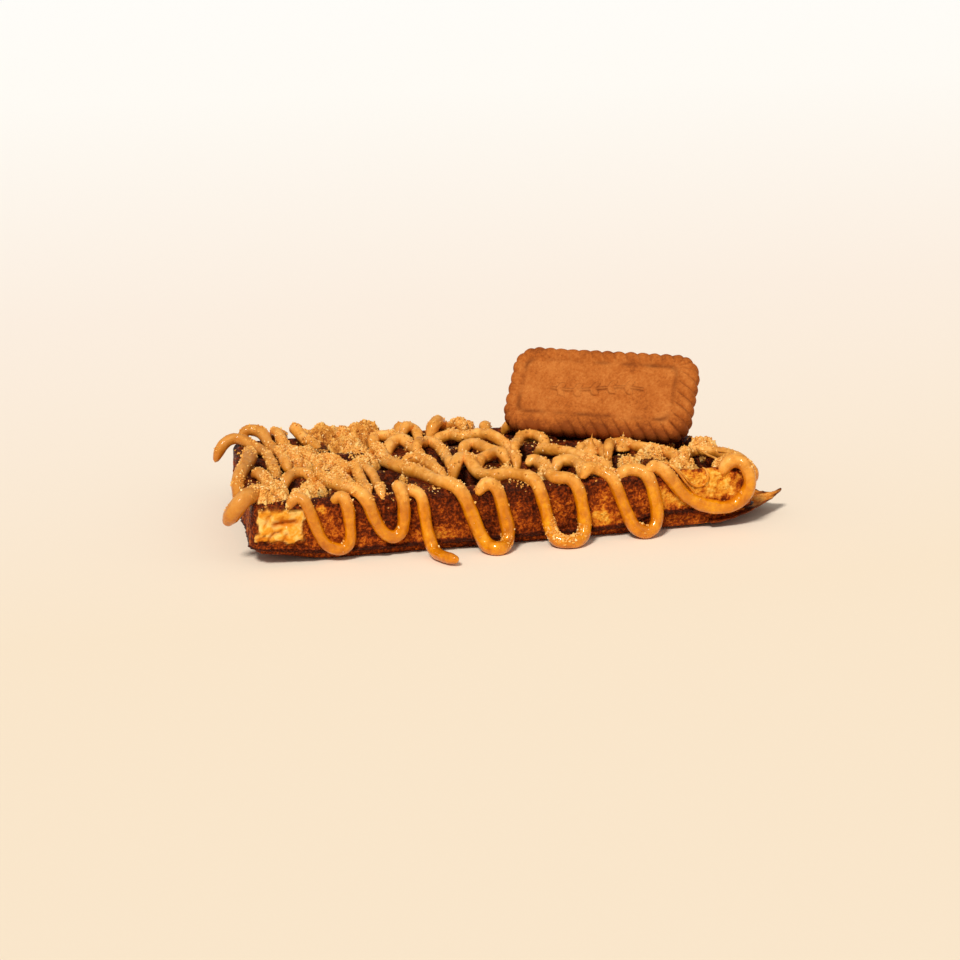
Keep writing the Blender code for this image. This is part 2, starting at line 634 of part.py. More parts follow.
def ringed_solid(name, layers, paint=None):
    """Closed solid from rings of equal count, the first and last filled"""
    verts, faces = [], []
    count = len(layers[0])
    for layer in layers:
        verts.extend(layer)
    for level in range(len(layers) - 1):
        for k in range(count):
            n = (k + 1) % count
            a, b = level * count, (level + 1) * count
            faces.append((a + k, a + n, b + n, b + k))
    faces.append(tuple(range(count - 1, -1, -1)))
    faces.append(tuple(range((len(layers) - 1) * count, len(layers) * count)))
    return mesh_object(name, verts, faces, paint)


def build_biscuit(paint):
    place = biscuit_place()
    count = 4 * (BISCUIT_SCALLOPS + BISCUIT_SCALLOPS_SHORT)
    profile = [
        (1.2, 0.0, 0.15),
        (0.3, 0.9, 0.6),
        (0.0, 0.55 * BISCUIT_THICK, 1.0),
        (0.5, BISCUIT_THICK - 1.1, 1.0),
        (1.7, BISCUIT_THICK - 0.15, 0.7),
        (BISCUIT_BORDER - 0.9, BISCUIT_THICK, 0.25),
        (BISCUIT_BORDER, BISCUIT_THICK - PANEL_SUNK, 0.0),
    ]
    layers = []
    for inset, height, share in profile:
        ring = biscuit_outline(inset, SCALLOP_OUT * share, count)
        layers.append([place @ Vector((x, y + BISCUIT_WIDTH / 2, height)) for x, y in ring])
    return ringed_solid("biscuit", layers, paint)


def biscuit_seat():
    place = biscuit_place()
    gap = TOUCH_GAP
    ring = biscuit_outline(-gap - SCALLOP_OUT, 0.0, 40)
    layers = []
    for height in (-gap, BISCUIT_THICK + gap):
        layers.append([place @ Vector((x, y + BISCUIT_WIDTH / 2, height)) for x, y in ring])
    return ringed_solid("seat", layers)


def apply_boolean(target, operation, collection=None, other=None):
    step = target.modifiers.new("join", "BOOLEAN")
    step.operation = operation
    step.solver = "MANIFOLD"
    if collection:
        step.operand_type = "COLLECTION"
        step.collection = collection
    else:
        step.object = other
    bpy.context.view_layer.update()
    whole = bpy.data.meshes.new_from_object(target.evaluated_get(bpy.context.evaluated_depsgraph_get()))
    target.modifiers.clear()
    target.data = whole


def close_short_edges(work, shortest):
    """Closes edges too short to matter, where that leaves the surface closed"""
    for _ in range(4):
        closed = 0
        for edge in list(work.edges):
            if not edge.is_valid or edge.calc_length() >= shortest or len(edge.link_faces) != 2:
                continue
            ends = [{e.other_vert(v) for e in v.link_edges} for v in edge.verts]
            if len(ends[0] & ends[1]) != 2:
                continue
            bmesh.ops.collapse(work, edges=[edge])
            closed += 1
        if not closed:
            return


def keep_whole(target, smallest):
    """Keeps outer shells of real size, so scraps go and sealed hollows are filled"""
    work = bmesh.new()
    work.from_mesh(target.data)
    bmesh.ops.triangulate(work, faces=work.faces, quad_method="FIXED", ngon_method="EAR_CLIP")
    close_short_edges(work, SHORTEST_EDGE * MM)
    left = set(work.faces)
    while left:
        shell, front = set(), [left.pop()]
        while front:
            face = front.pop()
            shell.add(face)
            for edge in face.edges:
                for near in edge.link_faces:
                    if near in left:
                        left.discard(near)
                        front.append(near)
        volume = sum(f.verts[0].co.dot(f.verts[1].co.cross(f.verts[2].co)) for f in shell) / 6
        if volume < smallest:
            bmesh.ops.delete(work, geom=list(shell), context="FACES")
    loose = [v for v in work.verts if not v.link_faces]
    bmesh.ops.delete(work, geom=loose, context="VERTS")
    work.to_mesh(target.data)
    work.free()


baked = material("baked_waffle", (0.30, 0.12, 0.04), 0.7)
caramel = material("caramel_biscuit", (0.42, 0.17, 0.06), 0.85)
waffle = build_core(baked)
drizzle = bpy.data.collections.new("drizzle")
bpy.context.scene.collection.children.link(drizzle)
lay_drizzle(drizzle)
flap = batter_flap()
bpy.context.scene.collection.objects.unlink(flap)
drizzle.objects.link(flap)
apply_boolean(waffle, "UNION", collection=drizzle)
seat = biscuit_seat()
apply_boolean(waffle, "DIFFERENCE", other=seat)
for done in list(drizzle.objects) + [seat]:
    bpy.data.objects.remove(done, do_unlink=True)
bpy.data.collections.remove(drizzle)
keep_whole(waffle, 1.0e-8)
if not waffle.data.materials:
    waffle.data.materials.append(baked)
biscuit = build_biscuit(caramel)
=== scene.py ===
import math
import random

import bmesh
import bpy
import numpy as np
from mathutils import Matrix, Vector, noise


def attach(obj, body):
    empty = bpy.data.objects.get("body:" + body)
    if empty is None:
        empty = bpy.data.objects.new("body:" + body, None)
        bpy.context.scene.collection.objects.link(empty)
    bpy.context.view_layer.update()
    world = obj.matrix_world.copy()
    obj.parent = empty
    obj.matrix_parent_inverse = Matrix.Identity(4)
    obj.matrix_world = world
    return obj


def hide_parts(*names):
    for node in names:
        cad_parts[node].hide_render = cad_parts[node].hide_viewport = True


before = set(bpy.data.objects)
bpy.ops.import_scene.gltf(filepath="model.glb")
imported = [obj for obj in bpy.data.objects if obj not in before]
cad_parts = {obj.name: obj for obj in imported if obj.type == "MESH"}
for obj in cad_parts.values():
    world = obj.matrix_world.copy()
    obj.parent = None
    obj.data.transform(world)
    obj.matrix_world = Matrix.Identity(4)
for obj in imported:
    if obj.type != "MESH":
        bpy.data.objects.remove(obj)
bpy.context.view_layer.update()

mm = 0.001
print("frame loaded")


# Meshes

def addObject(name, data):
    made = bpy.data.objects.new(name, data)
    bpy.context.scene.collection.objects.link(made)
    return made


def addMesh(name, verts, faces):
    mesh = bpy.data.meshes.new(name)
    mesh.from_pydata([tuple(float(c) * mm for c in v) for v in verts], [], faces)
    mesh.validate()
    made = addObject(name, mesh)
    work = bmesh.new()
    work.from_mesh(mesh)
    bmesh.ops.recalc_face_normals(work, faces=work.faces)
    for face in work.faces:
        face.smooth = True
    work.to_mesh(mesh)
    work.free()
    return made


def ringFaces(lower, upper):
    # four-sided faces between two closed rings with the same number of points
    count = len(lower)
    return [(lower[k], lower[(k + 1) % count], upper[(k + 1) % count], upper[k]) for k in range(count)]


def fanFaces(ring, tip):
    return [(ring[k], ring[(k + 1) % len(ring)], tip) for k in range(len(ring))]


def sheetFaces(grid):
    faces = []
    for a, b in zip(grid, grid[1:]):
        for i in range(len(a) - 1):
            faces.append((a[i], a[i + 1], b[i + 1], b[i]))
    return faces


def sheetBorder(grid):
    right = [row[-1] for row in grid[1:]]
    left = [row[0] for row in grid[-2:0:-1]]
    return grid[0] + right + grid[-1][-2::-1] + left


def zipLoops(outer, inner, verts, long, wide):
    # triangles between two loops about the same middle, which are walked side by side by their angles
    def angleOf(i):
        return math.atan2(verts[i][1] / wide, verts[i][0] / long) % math.tau

    loops, angles = [], []
    for loop in (outer, inner):
        start = min(range(len(loop)), key=lambda k: angleOf(loop[k]))
        loops.append(loop[start:] + loop[:start])
        angles.append([angleOf(i) for i in loops[-1]] + [math.tau + angleOf(loop[start])])
    outer, inner = loops
    outerAngles, innerAngles = angles
    faces = []
    i = j = 0
    while i < len(outer) or j < len(inner):
        if j == len(inner) or (i < len(outer) and outerAngles[i + 1] <= innerAngles[j + 1]):
            faces.append((outer[i], outer[(i + 1) % len(outer)], inner[j % len(inner)]))
            i += 1
        else:
            faces.append((outer[i % len(outer)], inner[(j + 1) % len(inner)], inner[j]))
            j += 1
    return faces


def paintPoints(piece, name, values):
    layer = piece.data.attributes.new(name, "FLOAT", "POINT")
    layer.data.foreach_set("value", np.asarray(values, dtype=np.float32))


def paintByRule(piece, name, rule):
    # the rule gets each point's place in mm and the way the surface faces there
    paintPoints(piece, name, [rule(v.co / mm, v.normal) for v in piece.data.vertices])


def smoothStep(low, high, x):
    t = min(1.0, max(0.0, (x - low) / (high - low)))
    return t * t * (3.0 - 2.0 * t)


def curveAt(a, b, c, d, t):
    # a smooth curve from b to c, where a comes before them and d after
    bend, twist = 2 * a - 5 * b + 4 * c - d, 3 * b - a - 3 * c + d
    return 0.5 * (2 * b + (c - a) * t + bend * t * t + twist * t ** 3)


def wave(x, y, z, size, seed=0.0):
    return noise.noise(Vector((x / size + seed, y / size - seed, z / size + 0.37 * seed)))


# Shader trees written as sums

class Wire:
    def __init__(self, shade, socket):
        self.shade = shade
        self.socket = socket

    def sum(self, kind, a, b):
        return self.shade.make("ShaderNodeMath", {"operation": kind}, {0: a, 1: b})

    def __add__(self, other):
        return self.sum("ADD", self, other)

    def __radd__(self, other):
        return self.sum("ADD", other, self)

    def __sub__(self, other):
        return self.sum("SUBTRACT", self, other)

    def __rsub__(self, other):
        return self.sum("SUBTRACT", other, self)

    def __mul__(self, other):
        return self.sum("MULTIPLY", self, other)

    def __rmul__(self, other):
        return self.sum("MULTIPLY", other, self)

    def __truediv__(self, other):
        return self.sum("DIVIDE", self, other)

    def __pow__(self, other):
        return self.sum("POWER", self, other)

    def between(self, low, high):
        return self.shade.make("ShaderNodeMapRange", {"interpolation_type": "SMOOTHSTEP"},
                               {"Value": self, "From Min": low, "From Max": high})


class Shade:
    def __init__(self, name, **fixed):
        self.material = bpy.data.materials.new(name)
        self.material.use_nodes = True
        self.tree = self.material.node_tree
        self.shader = self.tree.nodes["Principled BSDF"]
        for key, value in fixed.items():
            self.shader.inputs[key.replace("_", " ")].default_value = value

    def make(self, kind, settings=None, values=None, out=0):
        node = self.tree.nodes.new(kind)
        for key, value in (settings or {}).items():
            if key == "stops":
                ramp = node.color_ramp
                while len(ramp.elements) < len(value):
                    ramp.elements.new(0.5)
                for stop, (place, colour) in zip(ramp.elements, value):
                    stop.position = place
                    stop.color = (*colour, 1.0)
            else:
                setattr(node, key, value)
        for key, value in (values or {}).items():
            if isinstance(value, Wire):
                self.tree.links.new(value.socket, node.inputs[key])
            else:
                node.inputs[key].default_value = value
        return Wire(self, node.outputs[out])

    def place(self):
        return self.make("ShaderNodeTexCoord", out=3)

    def painted(self, name):
        return self.make("ShaderNodeAttribute", {"attribute_name": name}, out="Fac")

    def noise(self, size, detail, rough, warp=0.0):
        return self.make("ShaderNodeTexNoise", None,
                         {"Vector": self.place(), "Scale": 1.0 / (size * mm), "Detail": detail,
                          "Roughness": rough, "Distortion": warp})

    def cells(self, size):
        return self.make("ShaderNodeTexVoronoi", None,
                         {"Vector": self.place(), "Scale": 1.0 / (size * mm)})

    def ramp(self, value, stops):
        return self.make("ShaderNodeValToRGB", {"stops": stops}, {"Fac": value})

    def blend(self, share, first, second):
        if not isinstance(second, Wire):
            second = (*second, 1.0)
        return self.make("ShaderNodeMix", {"data_type": "RGBA"}, {0: share, 6: first, 7: second}, out=2)

    def bump(self, height, strength, distance, under=None):
        values = {"Height": height, "Strength": strength, "Distance": distance * mm}
        if under:
            values["Normal"] = under
        return self.make("ShaderNodeBump", None, values)

    def feed(self, name, wire):
        self.tree.links.new(wire.socket, self.shader.inputs[name])


def srgb(r, g, b):
    # a colour as one reads it on a screen, made linear
    linear = []
    for c in (r / 255, g / 255, b / 255):
        linear.append(c / 12.92 if c <= 0.04045 else ((c + 0.055) / 1.055) ** 2.4)
    return tuple(linear)


# Waffle body

body = {
    "halfLength": 77.5, "halfWidth": 38.0, "height": 18.5, "planCorner": 4.5, "rim": 3.4, "wallStep": 0.6,
    # the pockets: how many, their spacing, half the width of a mouth, and how they curve from rib to floor
    "pocketsLong": 6, "pocketsAcross": 3, "pitchLong": 25.0, "pitchAcross": 24.0,
    "mouth": 9.5, "cornerRound": 2.6, "mouthRound": 1.0, "mouthPast": 0.25, "mouthShare": 0.11,
    "wallDraft": 1.8, "footRound": 1.1, "depth": 10.0, "underDepth": 2.4,
    # the seam of the two halves: its height, how much it rises or falls from where to where, and its flash
    "seam": 2.9, "seamTurns": [(3.2, 30, 46), (-1.8, 58, 70)], "flashOut": 0.9, "flashEdge": 0.35,
    # the lower lip under the seam and the wall over it
    "lowerInset": 1.6, "lipTop": 0.6, "wallFoot": 1.2, "topEdge": 2.2,
    # how the crust is uneven, broadly and finely, and its pits
    "uneven": 0.448, "crustBumps": 0.16, "pits": 0.9,
    # how far the underside curls up, from where to where, and up to which height it tells
    "curls": [(3.2, -52.0, -79.0), (0.9, 32.0, 50.0), (2.7, 60.0, 78.0)], "curlHeight": 9.0,
    # the back comes in toward the right, and both ends lean in toward the back
    "backTaper": 10.0, "taperFrom": -45.0, "taperTo": 60.0,
    "rightPull": 2.0, "rightSkew": 9.0, "leftSkew": 1.9, "pullFrom": 15.0,
}
frontFacing = -0.7  # a wall whose outward direction has less than this along Y is part of the front


def backEdge(x):
    return body["halfWidth"] - body["backTaper"] * smoothStep(body["taperFrom"], body["taperTo"], x)


def acrossShare(y):
    return min(1.0, max(0.0, (y + body["halfWidth"]) / (2.0 * body["halfWidth"])))


def rightEdge(y):
    return body["halfLength"] - body["rightPull"] - body["rightSkew"] * acrossShare(y)


def leftEdge(y):
    return body["halfLength"] - body["leftSkew"] * acrossShare(y)


def shaped(x, y, z):
    # the slab narrows a little toward its right end and back, and its underside curls up at both ends
    pull = smoothStep(body["pullFrom"], body["halfLength"], x) * (body["halfLength"] - rightEdge(y))
    pull -= smoothStep(body["pullFrom"], body["halfLength"], -x) * (body["halfLength"] - leftEdge(y))
    narrowed = (backEdge(x) + body["halfWidth"]) / (2.0 * body["halfWidth"])
    curl = sum(rise * smoothStep(start, end, x) for rise, start, end in body["curls"])
    z += curl * max(0.0, 1.0 - z / body["curlHeight"])
    return x - pull, -body["halfWidth"] + (y + body["halfWidth"]) * narrowed, z


def pastPocket(s, pitch, count):
    # how far a place is past the straight side of the nearest pocket, along or across
    last = (count - 1) / 2
    middle = pitch * min(last, max(-last, round(s / pitch + last) - last))
    return abs(s - middle) - body["mouth"] + body["cornerRound"]


def pocketDistance(x, y):
    # how far a place is outside the mouth of the nearest pocket
    pastX = pastPocket(x, body["pitchLong"], body["pocketsLong"])
    pastY = pastPocket(y, body["pitchAcross"], body["pocketsAcross"])
    return math.hypot(max(pastX, 0), max(pastY, 0)) + min(max(pastX, pastY), 0) - body["cornerRound"]


def pocketShare(x, y):
    # from 0 on the ribs, over the rounded mouth and down the wall, to 1 on a pocket's floor
    inside = -pocketDistance(x, y)
    lip, past, share = body["mouthRound"], body["mouthPast"], body["mouthShare"]
    if inside <= -lip:
        return 0.0
    if inside < past:
        return share * ((inside + lip) / (lip + past)) ** 2
    t = min(1.0, (inside - past) / (body["wallDraft"] + body["footRound"]))
    return share + (1.0 - share) * (1.0 - (1.0 - t) ** 1.7)


def seamHeight(x):
    return body["seam"] + sum(rise * smoothStep(start, end, x) for rise, start, end in body["seamTurns"])


def outlineAt(s):
    # the place on the slab's outline after a walk of s, and its direction outwards
    hx, hy, r = body["halfLength"], body["halfWidth"], body["planCorner"]
    runs = [2 * (hx - r), 2 * (hy - r)] * 2
    arc = math.pi / 2 * r
    turn = 0
    while s >= runs[turn] + arc:
        s -= runs[turn] + arc
        turn += 1
    x, y = [(-hx + r, -hy), (hx, -hy + r), (hx - r, hy), (-hx, hy - r)][turn]
    ax, ay = [(1, 0), (0, 1), (-1, 0), (0, -1)][turn]
    ox, oy = ay, -ax
    if s <= runs[turn]:
        return x + ax * s, y + ay * s, ox, oy
    angle = (s - runs[turn]) / r
    nx = ox * math.cos(angle) + ax * math.sin(angle)
    ny = oy * math.cos(angle) + ay * math.sin(angle)
    return x + ax * runs[turn] - ox * r + nx * r, y + ay * runs[turn] - oy * r + ny * r, nx, ny


# The torn pale patch near the left end of the front: smooth folds of soft batter
tear = {
    "thick": 1.15, "ragged": 1.5, "foldDepth": 1.2, "rightmost": -55,
    # its outline, as along and height
    "outline": [(-75.4, 17.6), (-71.5, 17.3), (-66.0, 16.4), (-61.6, 16.8), (-60.9, 13.2), (-61.6, 10.1),
                (-62.4, 6.6), (-64.8, 4.8), (-68.4, 5.8), (-71.2, 7.0), (-76.8, 5.6), (-77.2, 7.4),
                (-74.4, 10.0), (-76.0, 14.0)],
    # folds: along, height, turn of the fold, half length, half width, depth
    "folds": [(-67.4, 12.7, 0.06, 4.9, 0.85, 1.0), (-71.6, 8.8, 0.9, 2.6, 0.6, 0.8),
              (-70.0, 9.9, 0.2, 1.7, 0.55, 0.6), (-67.6, 8.2, 1.35, 2.0, 0.5, 0.6),
              (-72.6, 13.6, 1.1, 2.4, 0.6, 0.5), (-74.6, 8.2, 0.5, 1.8, 0.5, 0.7),
              (-69.4, 6.6, -0.1, 2.2, 0.5, 0.6), (-64.6, 15.2, -0.2, 2.0, 0.5, 0.35)],
}


def tearShare(x, z, ny):
    if ny >= frontFacing or x >= tear["rightmost"]:
        return 0.0
    points = tear["outline"]
    inside, nearest = False, math.inf
    for (ax, az), (bx, bz) in zip(points, points[1:] + points[:1]):
        alongX, alongZ = bx - ax, bz - az
        if (az > z) != (bz > z) and x < ax + (z - az) / alongZ * alongX:
            inside = not inside
        run = ((x - ax) * alongX + (z - az) * alongZ) / (alongX ** 2 + alongZ ** 2)
        run = max(0.0, min(1.0, run))
        nearest = min(nearest, math.hypot(x - ax - run * alongX, z - az - run * alongZ))
    depth = nearest if inside else -nearest
    ragged = tear["ragged"] * (wave(x, 0, z, 4.0, 3.1) + 0.8 * wave(x, 0, z, 1.5, 9.0))
    return smoothStep(-0.4, 0.9, depth + ragged)


def cleftShare(x, z):
    # how deep in a fold of the torn batter a place is
    most = 0.0
    x += 0.5 * wave(x, 0, z, 2.0, 15)
    z += 0.5 * wave(x, 4, z, 2.0, 17)
    for along, height, turn, half, wide, depth in tear["folds"]:
        dx, dz = x - along, z - height
        run = dx * math.cos(turn) + dz * math.sin(turn)
        off = -dx * math.sin(turn) + dz * math.cos(turn) + 0.12 * run * run / half
        most = max(most, depth * math.exp(-(off / wide) ** 2) * smoothStep(1.0, 0.55, abs(run) / half))
    return most


def wallOffset(x, y, z, ny):
    # how far the wall stands out: the lower lip, the flash at the seam, then the wall up to its top edge
    seam, top, edge = seamHeight(x), body["height"], body["flashEdge"]
    if z < seam - edge:
        inset = body["lowerInset"] + 1.5 * max(0.0, 1.0 - z / 1.1) ** 2
        inset -= 0.5 * smoothStep(seam - 1.6, seam - edge, z)
    elif z < seam + edge + 0.2:
        flash = body["flashOut"] + 1.2 * max(0.0, wave(x, y, 7, 5)) + 0.5 * wave(x, y, 3, 1.4)
        flash *= 1.0 - 0.65 * smoothStep(-69, -75, x)
        inset = edge - (flash + edge) * (1.0 - min(1.0, abs(z - seam - 0.1) / 0.5) ** 2)
    else:
        inset = 0.1 + 0.4 * smoothStep(seam, top - 2.4, z)
        inset += 1.9 * max(0.0, (z - (top - body["topEdge"])) / body["topEdge"]) ** 2.4
    out = -inset + body["uneven"] * wave(x, y, z, 9, 1.7)
    calm = smoothStep(0, 1.0, z) * smoothStep(0, 0.8, top - z)
    out += calm * body["crustBumps"] * (1.6 * wave(x, y, z, 2.1, 4) + 1.4 * wave(x, y, z, 1.0, 8))
    out -= calm * body["pits"] * max(0.0, wave(x, y, z, 1.5, 12) - 0.2)
    torn = tearShare(x, z, ny)
    if torn:
        soft = 0.5 * wave(x, 3, z, 3.4, 5.5) + 0.12 * wave(x, 8, z, 1.4, 2)
        out += torn * (tear["thick"] + soft - tear["foldDepth"] * cleftShare(x, z))
    if ny < frontFacing:
        out += 0.6 * bubbleShare(x, z) * abs(wave(x, 5, z, 1.9, 21))
    return out


# How dark the crust is baked, from 0 for pale gold to 1 for nearly burnt; the pockets' extra darkness is
# partly painted shade
toasting = {
    "wall": 0.66, "leftEnd": 0.62, "topEdge": 0.19, "seamLine": 1.02, "lowStrip": 0.665,
    "ribs": 0.84, "pockets": 0.96, "goldenRibs": 0.35, "under": 0.55,
    # golden and dark places on the front wall: along, height, half sizes, how much paler
    "spots": [
        (27.0, 5.6, 4.6, 4.0, 0.40), (34.0, 4.8, 7.0, 3.4, 0.30), (28.0, 11.0, 7.0, 5.0, 0.13),
        (48.5, 9.6, 6.5, 4.4, 0.40), (60.5, 13.2, 13.5, 6.8, 0.50), (-56.4, 15.8, 1.7, 2.0, 0.5),
        (-55.0, 9.0, 4.5, 7.0, 0.10), (-47.0, 4.6, 9.0, 2.4, 0.16), (-36.0, 4.4, 7.0, 2.2, 0.16),
        (-22.0, 5.0, 8.0, 3.0, 0.28), (-18.0, 10.0, 5.0, 4.5, -0.04), (74.0, 9.0, 4.5, 5.5, 0.42),
        (38.5, 10.5, 5.0, 5.0, 0.16), (13.0, 8.5, 6.0, 4.5, 0.10), (-1.0, 9.0, 4.0, 4.5, 0.08),
        (-36.0, 11.5, 5.5, 6.0, -0.15), (-10.0, 14.5, 5.0, 4.0, -0.08), (3.0, 14.5, 4.0, 3.5, -0.10),
        (24.0, 15.0, 4.0, 3.0, -0.12),
    ],
}


def goldAt(x, z):
    most, least = 0.0, 0.0
    for along, height, halfX, halfZ, share in toasting["spots"]:
        away = math.hypot((x - along) / halfX, (z - height) / halfZ)
        away += 0.45 * wave(x, 0, z, 3.0, 31) + 0.35 * wave(x, 0, z, 1.2, 33)
        here = share * smoothStep(1.2, 0.45, away)
        most, least = max(most, here), min(least, here)
    return most + least


def bubbleShare(x, z):
    # the bubbly golden place inside the loop at the right
    return smoothStep(1.1, 0.8, math.hypot((x - 60.0) / 9.5, (z - 14.0) / 5.0))


def toastAt(x, y, z, nx, ny):
    over = z - seamHeight(x)
    if abs(over + 0.2) < 0.9:
        return toasting["seamLine"]
    if over < 0.9:
        return toasting["lowStrip"] + 0.1 * wave(x, y, z, 5) - 0.12 * smoothStep(40, 46, x)
    front = ny < -0.3
    leftEnd = nx < -0.5 and not front
    shade = toasting["leftEnd" if leftEnd else "wall"]
    shade += 0.14 * wave(x, y, z, 12, 2) + 0.12 * wave(x, y, z, 3.5, 6)
    if front:
        burnt = 0.22 * max(0.0, wave(x, 0, z, 1.7, 35) - 0.1) + 0.26 * max(0.0, wave(x, 0, z, 0.9, 37))
        shade += bubbleShare(x, z) * burnt - goldAt(x, z)
    elif leftEnd:
        shade -= 0.3 * max(0.0, wave(x, y, z, 5, 43))
    else:
        shade -= 0.25 * smoothStep(0.1, 0.5, wave(x, y, z, 16, 41)) + 0.12 * smoothStep(40, 70, x)
    edge = toasting["topEdge"] * smoothStep(13.5, 18.0, z)
    return shade + edge * (1.0 - smoothStep(46, 54, x) * front)


def gridLines(count, pitch, half, fine):
    # lines across the pockets and ribs, closer together at the pockets' walls
    lines = set()
    steps = 22 if fine else 6
    for i in range(count):
        middle = (i - (count - 1) / 2) * pitch
        for k in range(steps):
            t = k / (steps - 1)
            d = 0.5 * pitch * (t + 0.09 * math.sin(math.tau * t))
            lines.add(round(middle + d, 3))
            lines.add(round(middle - d, 3))
    return [v for v in sorted(lines) if abs(v) < half]


def sheetPoint(x, y, up):
    # height of the top or of the underside, where pockets and ribs are a little uneven
    warpX = x + 0.45 * wave(x, y, 0, 8, 1) + 0.18 * wave(x, y, 0, 2.2, 3)
    warpY = y + 0.45 * wave(x, y, 0, 8, 5) + 0.18 * wave(x, y, 0, 2.2, 7)
    share = pocketShare(warpX, warpY)
    rough = 0.30 * wave(x, y, 0, 7, 11) + 0.42 * wave(x, y, 0, 2.4, 13)
    rough -= 0.9 * max(0.0, wave(x, y, 0, 1.7, 17) - 0.12)
    if up:
        return body["height"] - body["depth"] * share + rough * (1.0 if share > 0.02 else 0.7) - 0.12
    return body["underDepth"] * share + (0.4 * max(0.0, rough) if share > 0.3 else 0.0)


def sheetTone(x, y, z, up):
    share = pocketShare(x, y)
    if up:
        # the pockets are darker than the ribs: partly browning, partly painted shade in the hollows
        tone = toasting["ribs"] + (toasting["pockets"] - toasting["ribs"]) * smoothStep(0.0, 0.35, share)
        tone -= toasting["goldenRibs"] * smoothStep(50, 60, x) * (1 - smoothStep(-34, -30, y))
    else:
        tone = toasting["under"] + 0.1 * share
    return tone + 0.14 * wave(x, y, z, 9, 4)


def wallHeights(seam):
    # where the rings of the wall lie: on the lower lip, about the seam, and from there up to the top
    lip = [share * (seam - body["lipTop"]) for share in (0.0, 0.1, 0.28, 0.52, 0.76, 1.0)]
    flash = [seam + step for step in (-0.5, -0.3, 0.0, 0.2, 0.45, 0.75, body["wallFoot"])]
    foot, top = seam + body["wallFoot"], body["height"] - 0.08
    shares = [k / 22 for k in range(1, 20)] + [0.885, 0.91, 0.935, 0.955, 0.975, 0.99, 1.0]
    return lip + flash + [foot + share * (top - foot) for share in shares]


def buildBody():
    verts, faces, toast, torn, cleft, rings = [], [], [], [], [], []
    perimeter = 4 * (body["halfLength"] + body["halfWidth"] - 2 * body["planCorner"])
    perimeter += math.tau * body["planCorner"]
    around = int(perimeter / body["wallStep"])
    wall = [outlineAt(perimeter * k / around) for k in range(around)]
    heights = [wallHeights(seamHeight(spot[0])) for spot in wall]
    for level in range(len(heights[0])):
        rings.append(list(range(len(verts), len(verts) + around)))
        for (x, y, nx, ny), column in zip(wall, heights):
            z = column[level]
            out = wallOffset(x, y, z, ny)
            verts.append((x + nx * out, y + ny * out, z))
            toast.append(toastAt(x, y, z, nx, ny))
            share = tearShare(x, z, ny)
            torn.append(share)
            # the cleft paint darkens the folds and the tear's edge, partly as painted shade
            cleft.append(max(cleftShare(x, z), 0.8 * smoothStep(0.95, 0.3, share)) if share else 0.0)
    for lower, upper in zip(rings, rings[1:]):
        faces += ringFaces(lower, upper)
    for up, ring in ((True, rings[-1]), (False, rings[0])):
        xs = gridLines(body["pocketsLong"], body["pitchLong"], body["halfLength"] - body["rim"], up)
        ys = gridLines(body["pocketsAcross"], body["pitchAcross"], body["halfWidth"] - body["rim"], up)
        grid = []
        for y in ys:
            grid.append(list(range(len(verts), len(verts) + len(xs))))
            for x in xs:
                z = sheetPoint(x, y, up)
                verts.append((x, y, z))
                toast.append(sheetTone(x, y, z, up))
        faces += sheetFaces(grid)
        faces += zipLoops(ring, sheetBorder(grid), verts, body["halfLength"], body["halfWidth"])
    whole = [0.0] * (len(verts) - len(torn))  # neither sheet is torn
    made = addMesh("bakedWaffle", [shaped(*v) for v in verts], faces)
    paintPoints(made, "toast", toast)
    paintPoints(made, "torn", torn + whole)
    paintPoints(made, "cleft", cleft + whole)
    return made


def crustMaterial():
    shade = Shade("bakedCrust", Specular_IOR_Level=0.12, Specular_Tint=(1.0, 0.62, 0.4, 1.0))
    toast = shade.painted("toast")
    torn = shade.painted("torn")
    broad = shade.noise(4.5, 4.0, 0.6)
    coarse = shade.noise(1.5, 3.0, 0.6)
    fine = shade.noise(0.75, 4.0, 0.7)
    flecks = coarse.between(0.36, 0.64) * 0.45 + fine.between(0.38, 0.62) * 0.55
    level = toast + (broad - 0.5) * 0.5 - (flecks - 0.5) * (0.12 + 0.42 * toast)
    crust = shade.ramp(level, [
        (0.04, srgb(255, 200, 92)), (0.20, srgb(240, 158, 44)), (0.38, srgb(206, 108, 26)),
        (0.52, srgb(160, 66, 14)), (0.70, srgb(104, 38, 11)), (0.98, srgb(52, 17, 8)),
    ])
    batter = shade.ramp(shade.noise(2.8, 4.0, 0.55, 0.5), [
        (0.34, srgb(222, 130, 22)), (0.47, srgb(244, 164, 52)), (0.62, srgb(255, 206, 112)),
    ])
    # darker amber in the folds and round the tear's edge: partly browned batter, partly painted shade
    batter = shade.blend(shade.painted("cleft"), batter, srgb(186, 88, 8))
    shade.feed("Base Color", shade.blend(torn, crust, batter))
    firm = 1.0 - torn * 0.8
    rough = shade.bump(coarse * firm, 0.7, 0.7)
    rough = shade.bump(fine * firm, 0.65, 0.4, rough)
    shade.feed("Normal", shade.bump(shade.cells(1.3) * firm, 0.5, 0.45, rough))
    shade.feed("Roughness", 0.62 - 0.3 * toast.between(0.66, 0.9) + 0.3 * (fine - 0.5))
    return shade.material


waffleBody = buildBody()
waffleBody.data.materials.append(crustMaterial())
print("waffle body", len(waffleBody.data.polygons), "faces")


# Flap of burnt batter that curls up from the right front corner

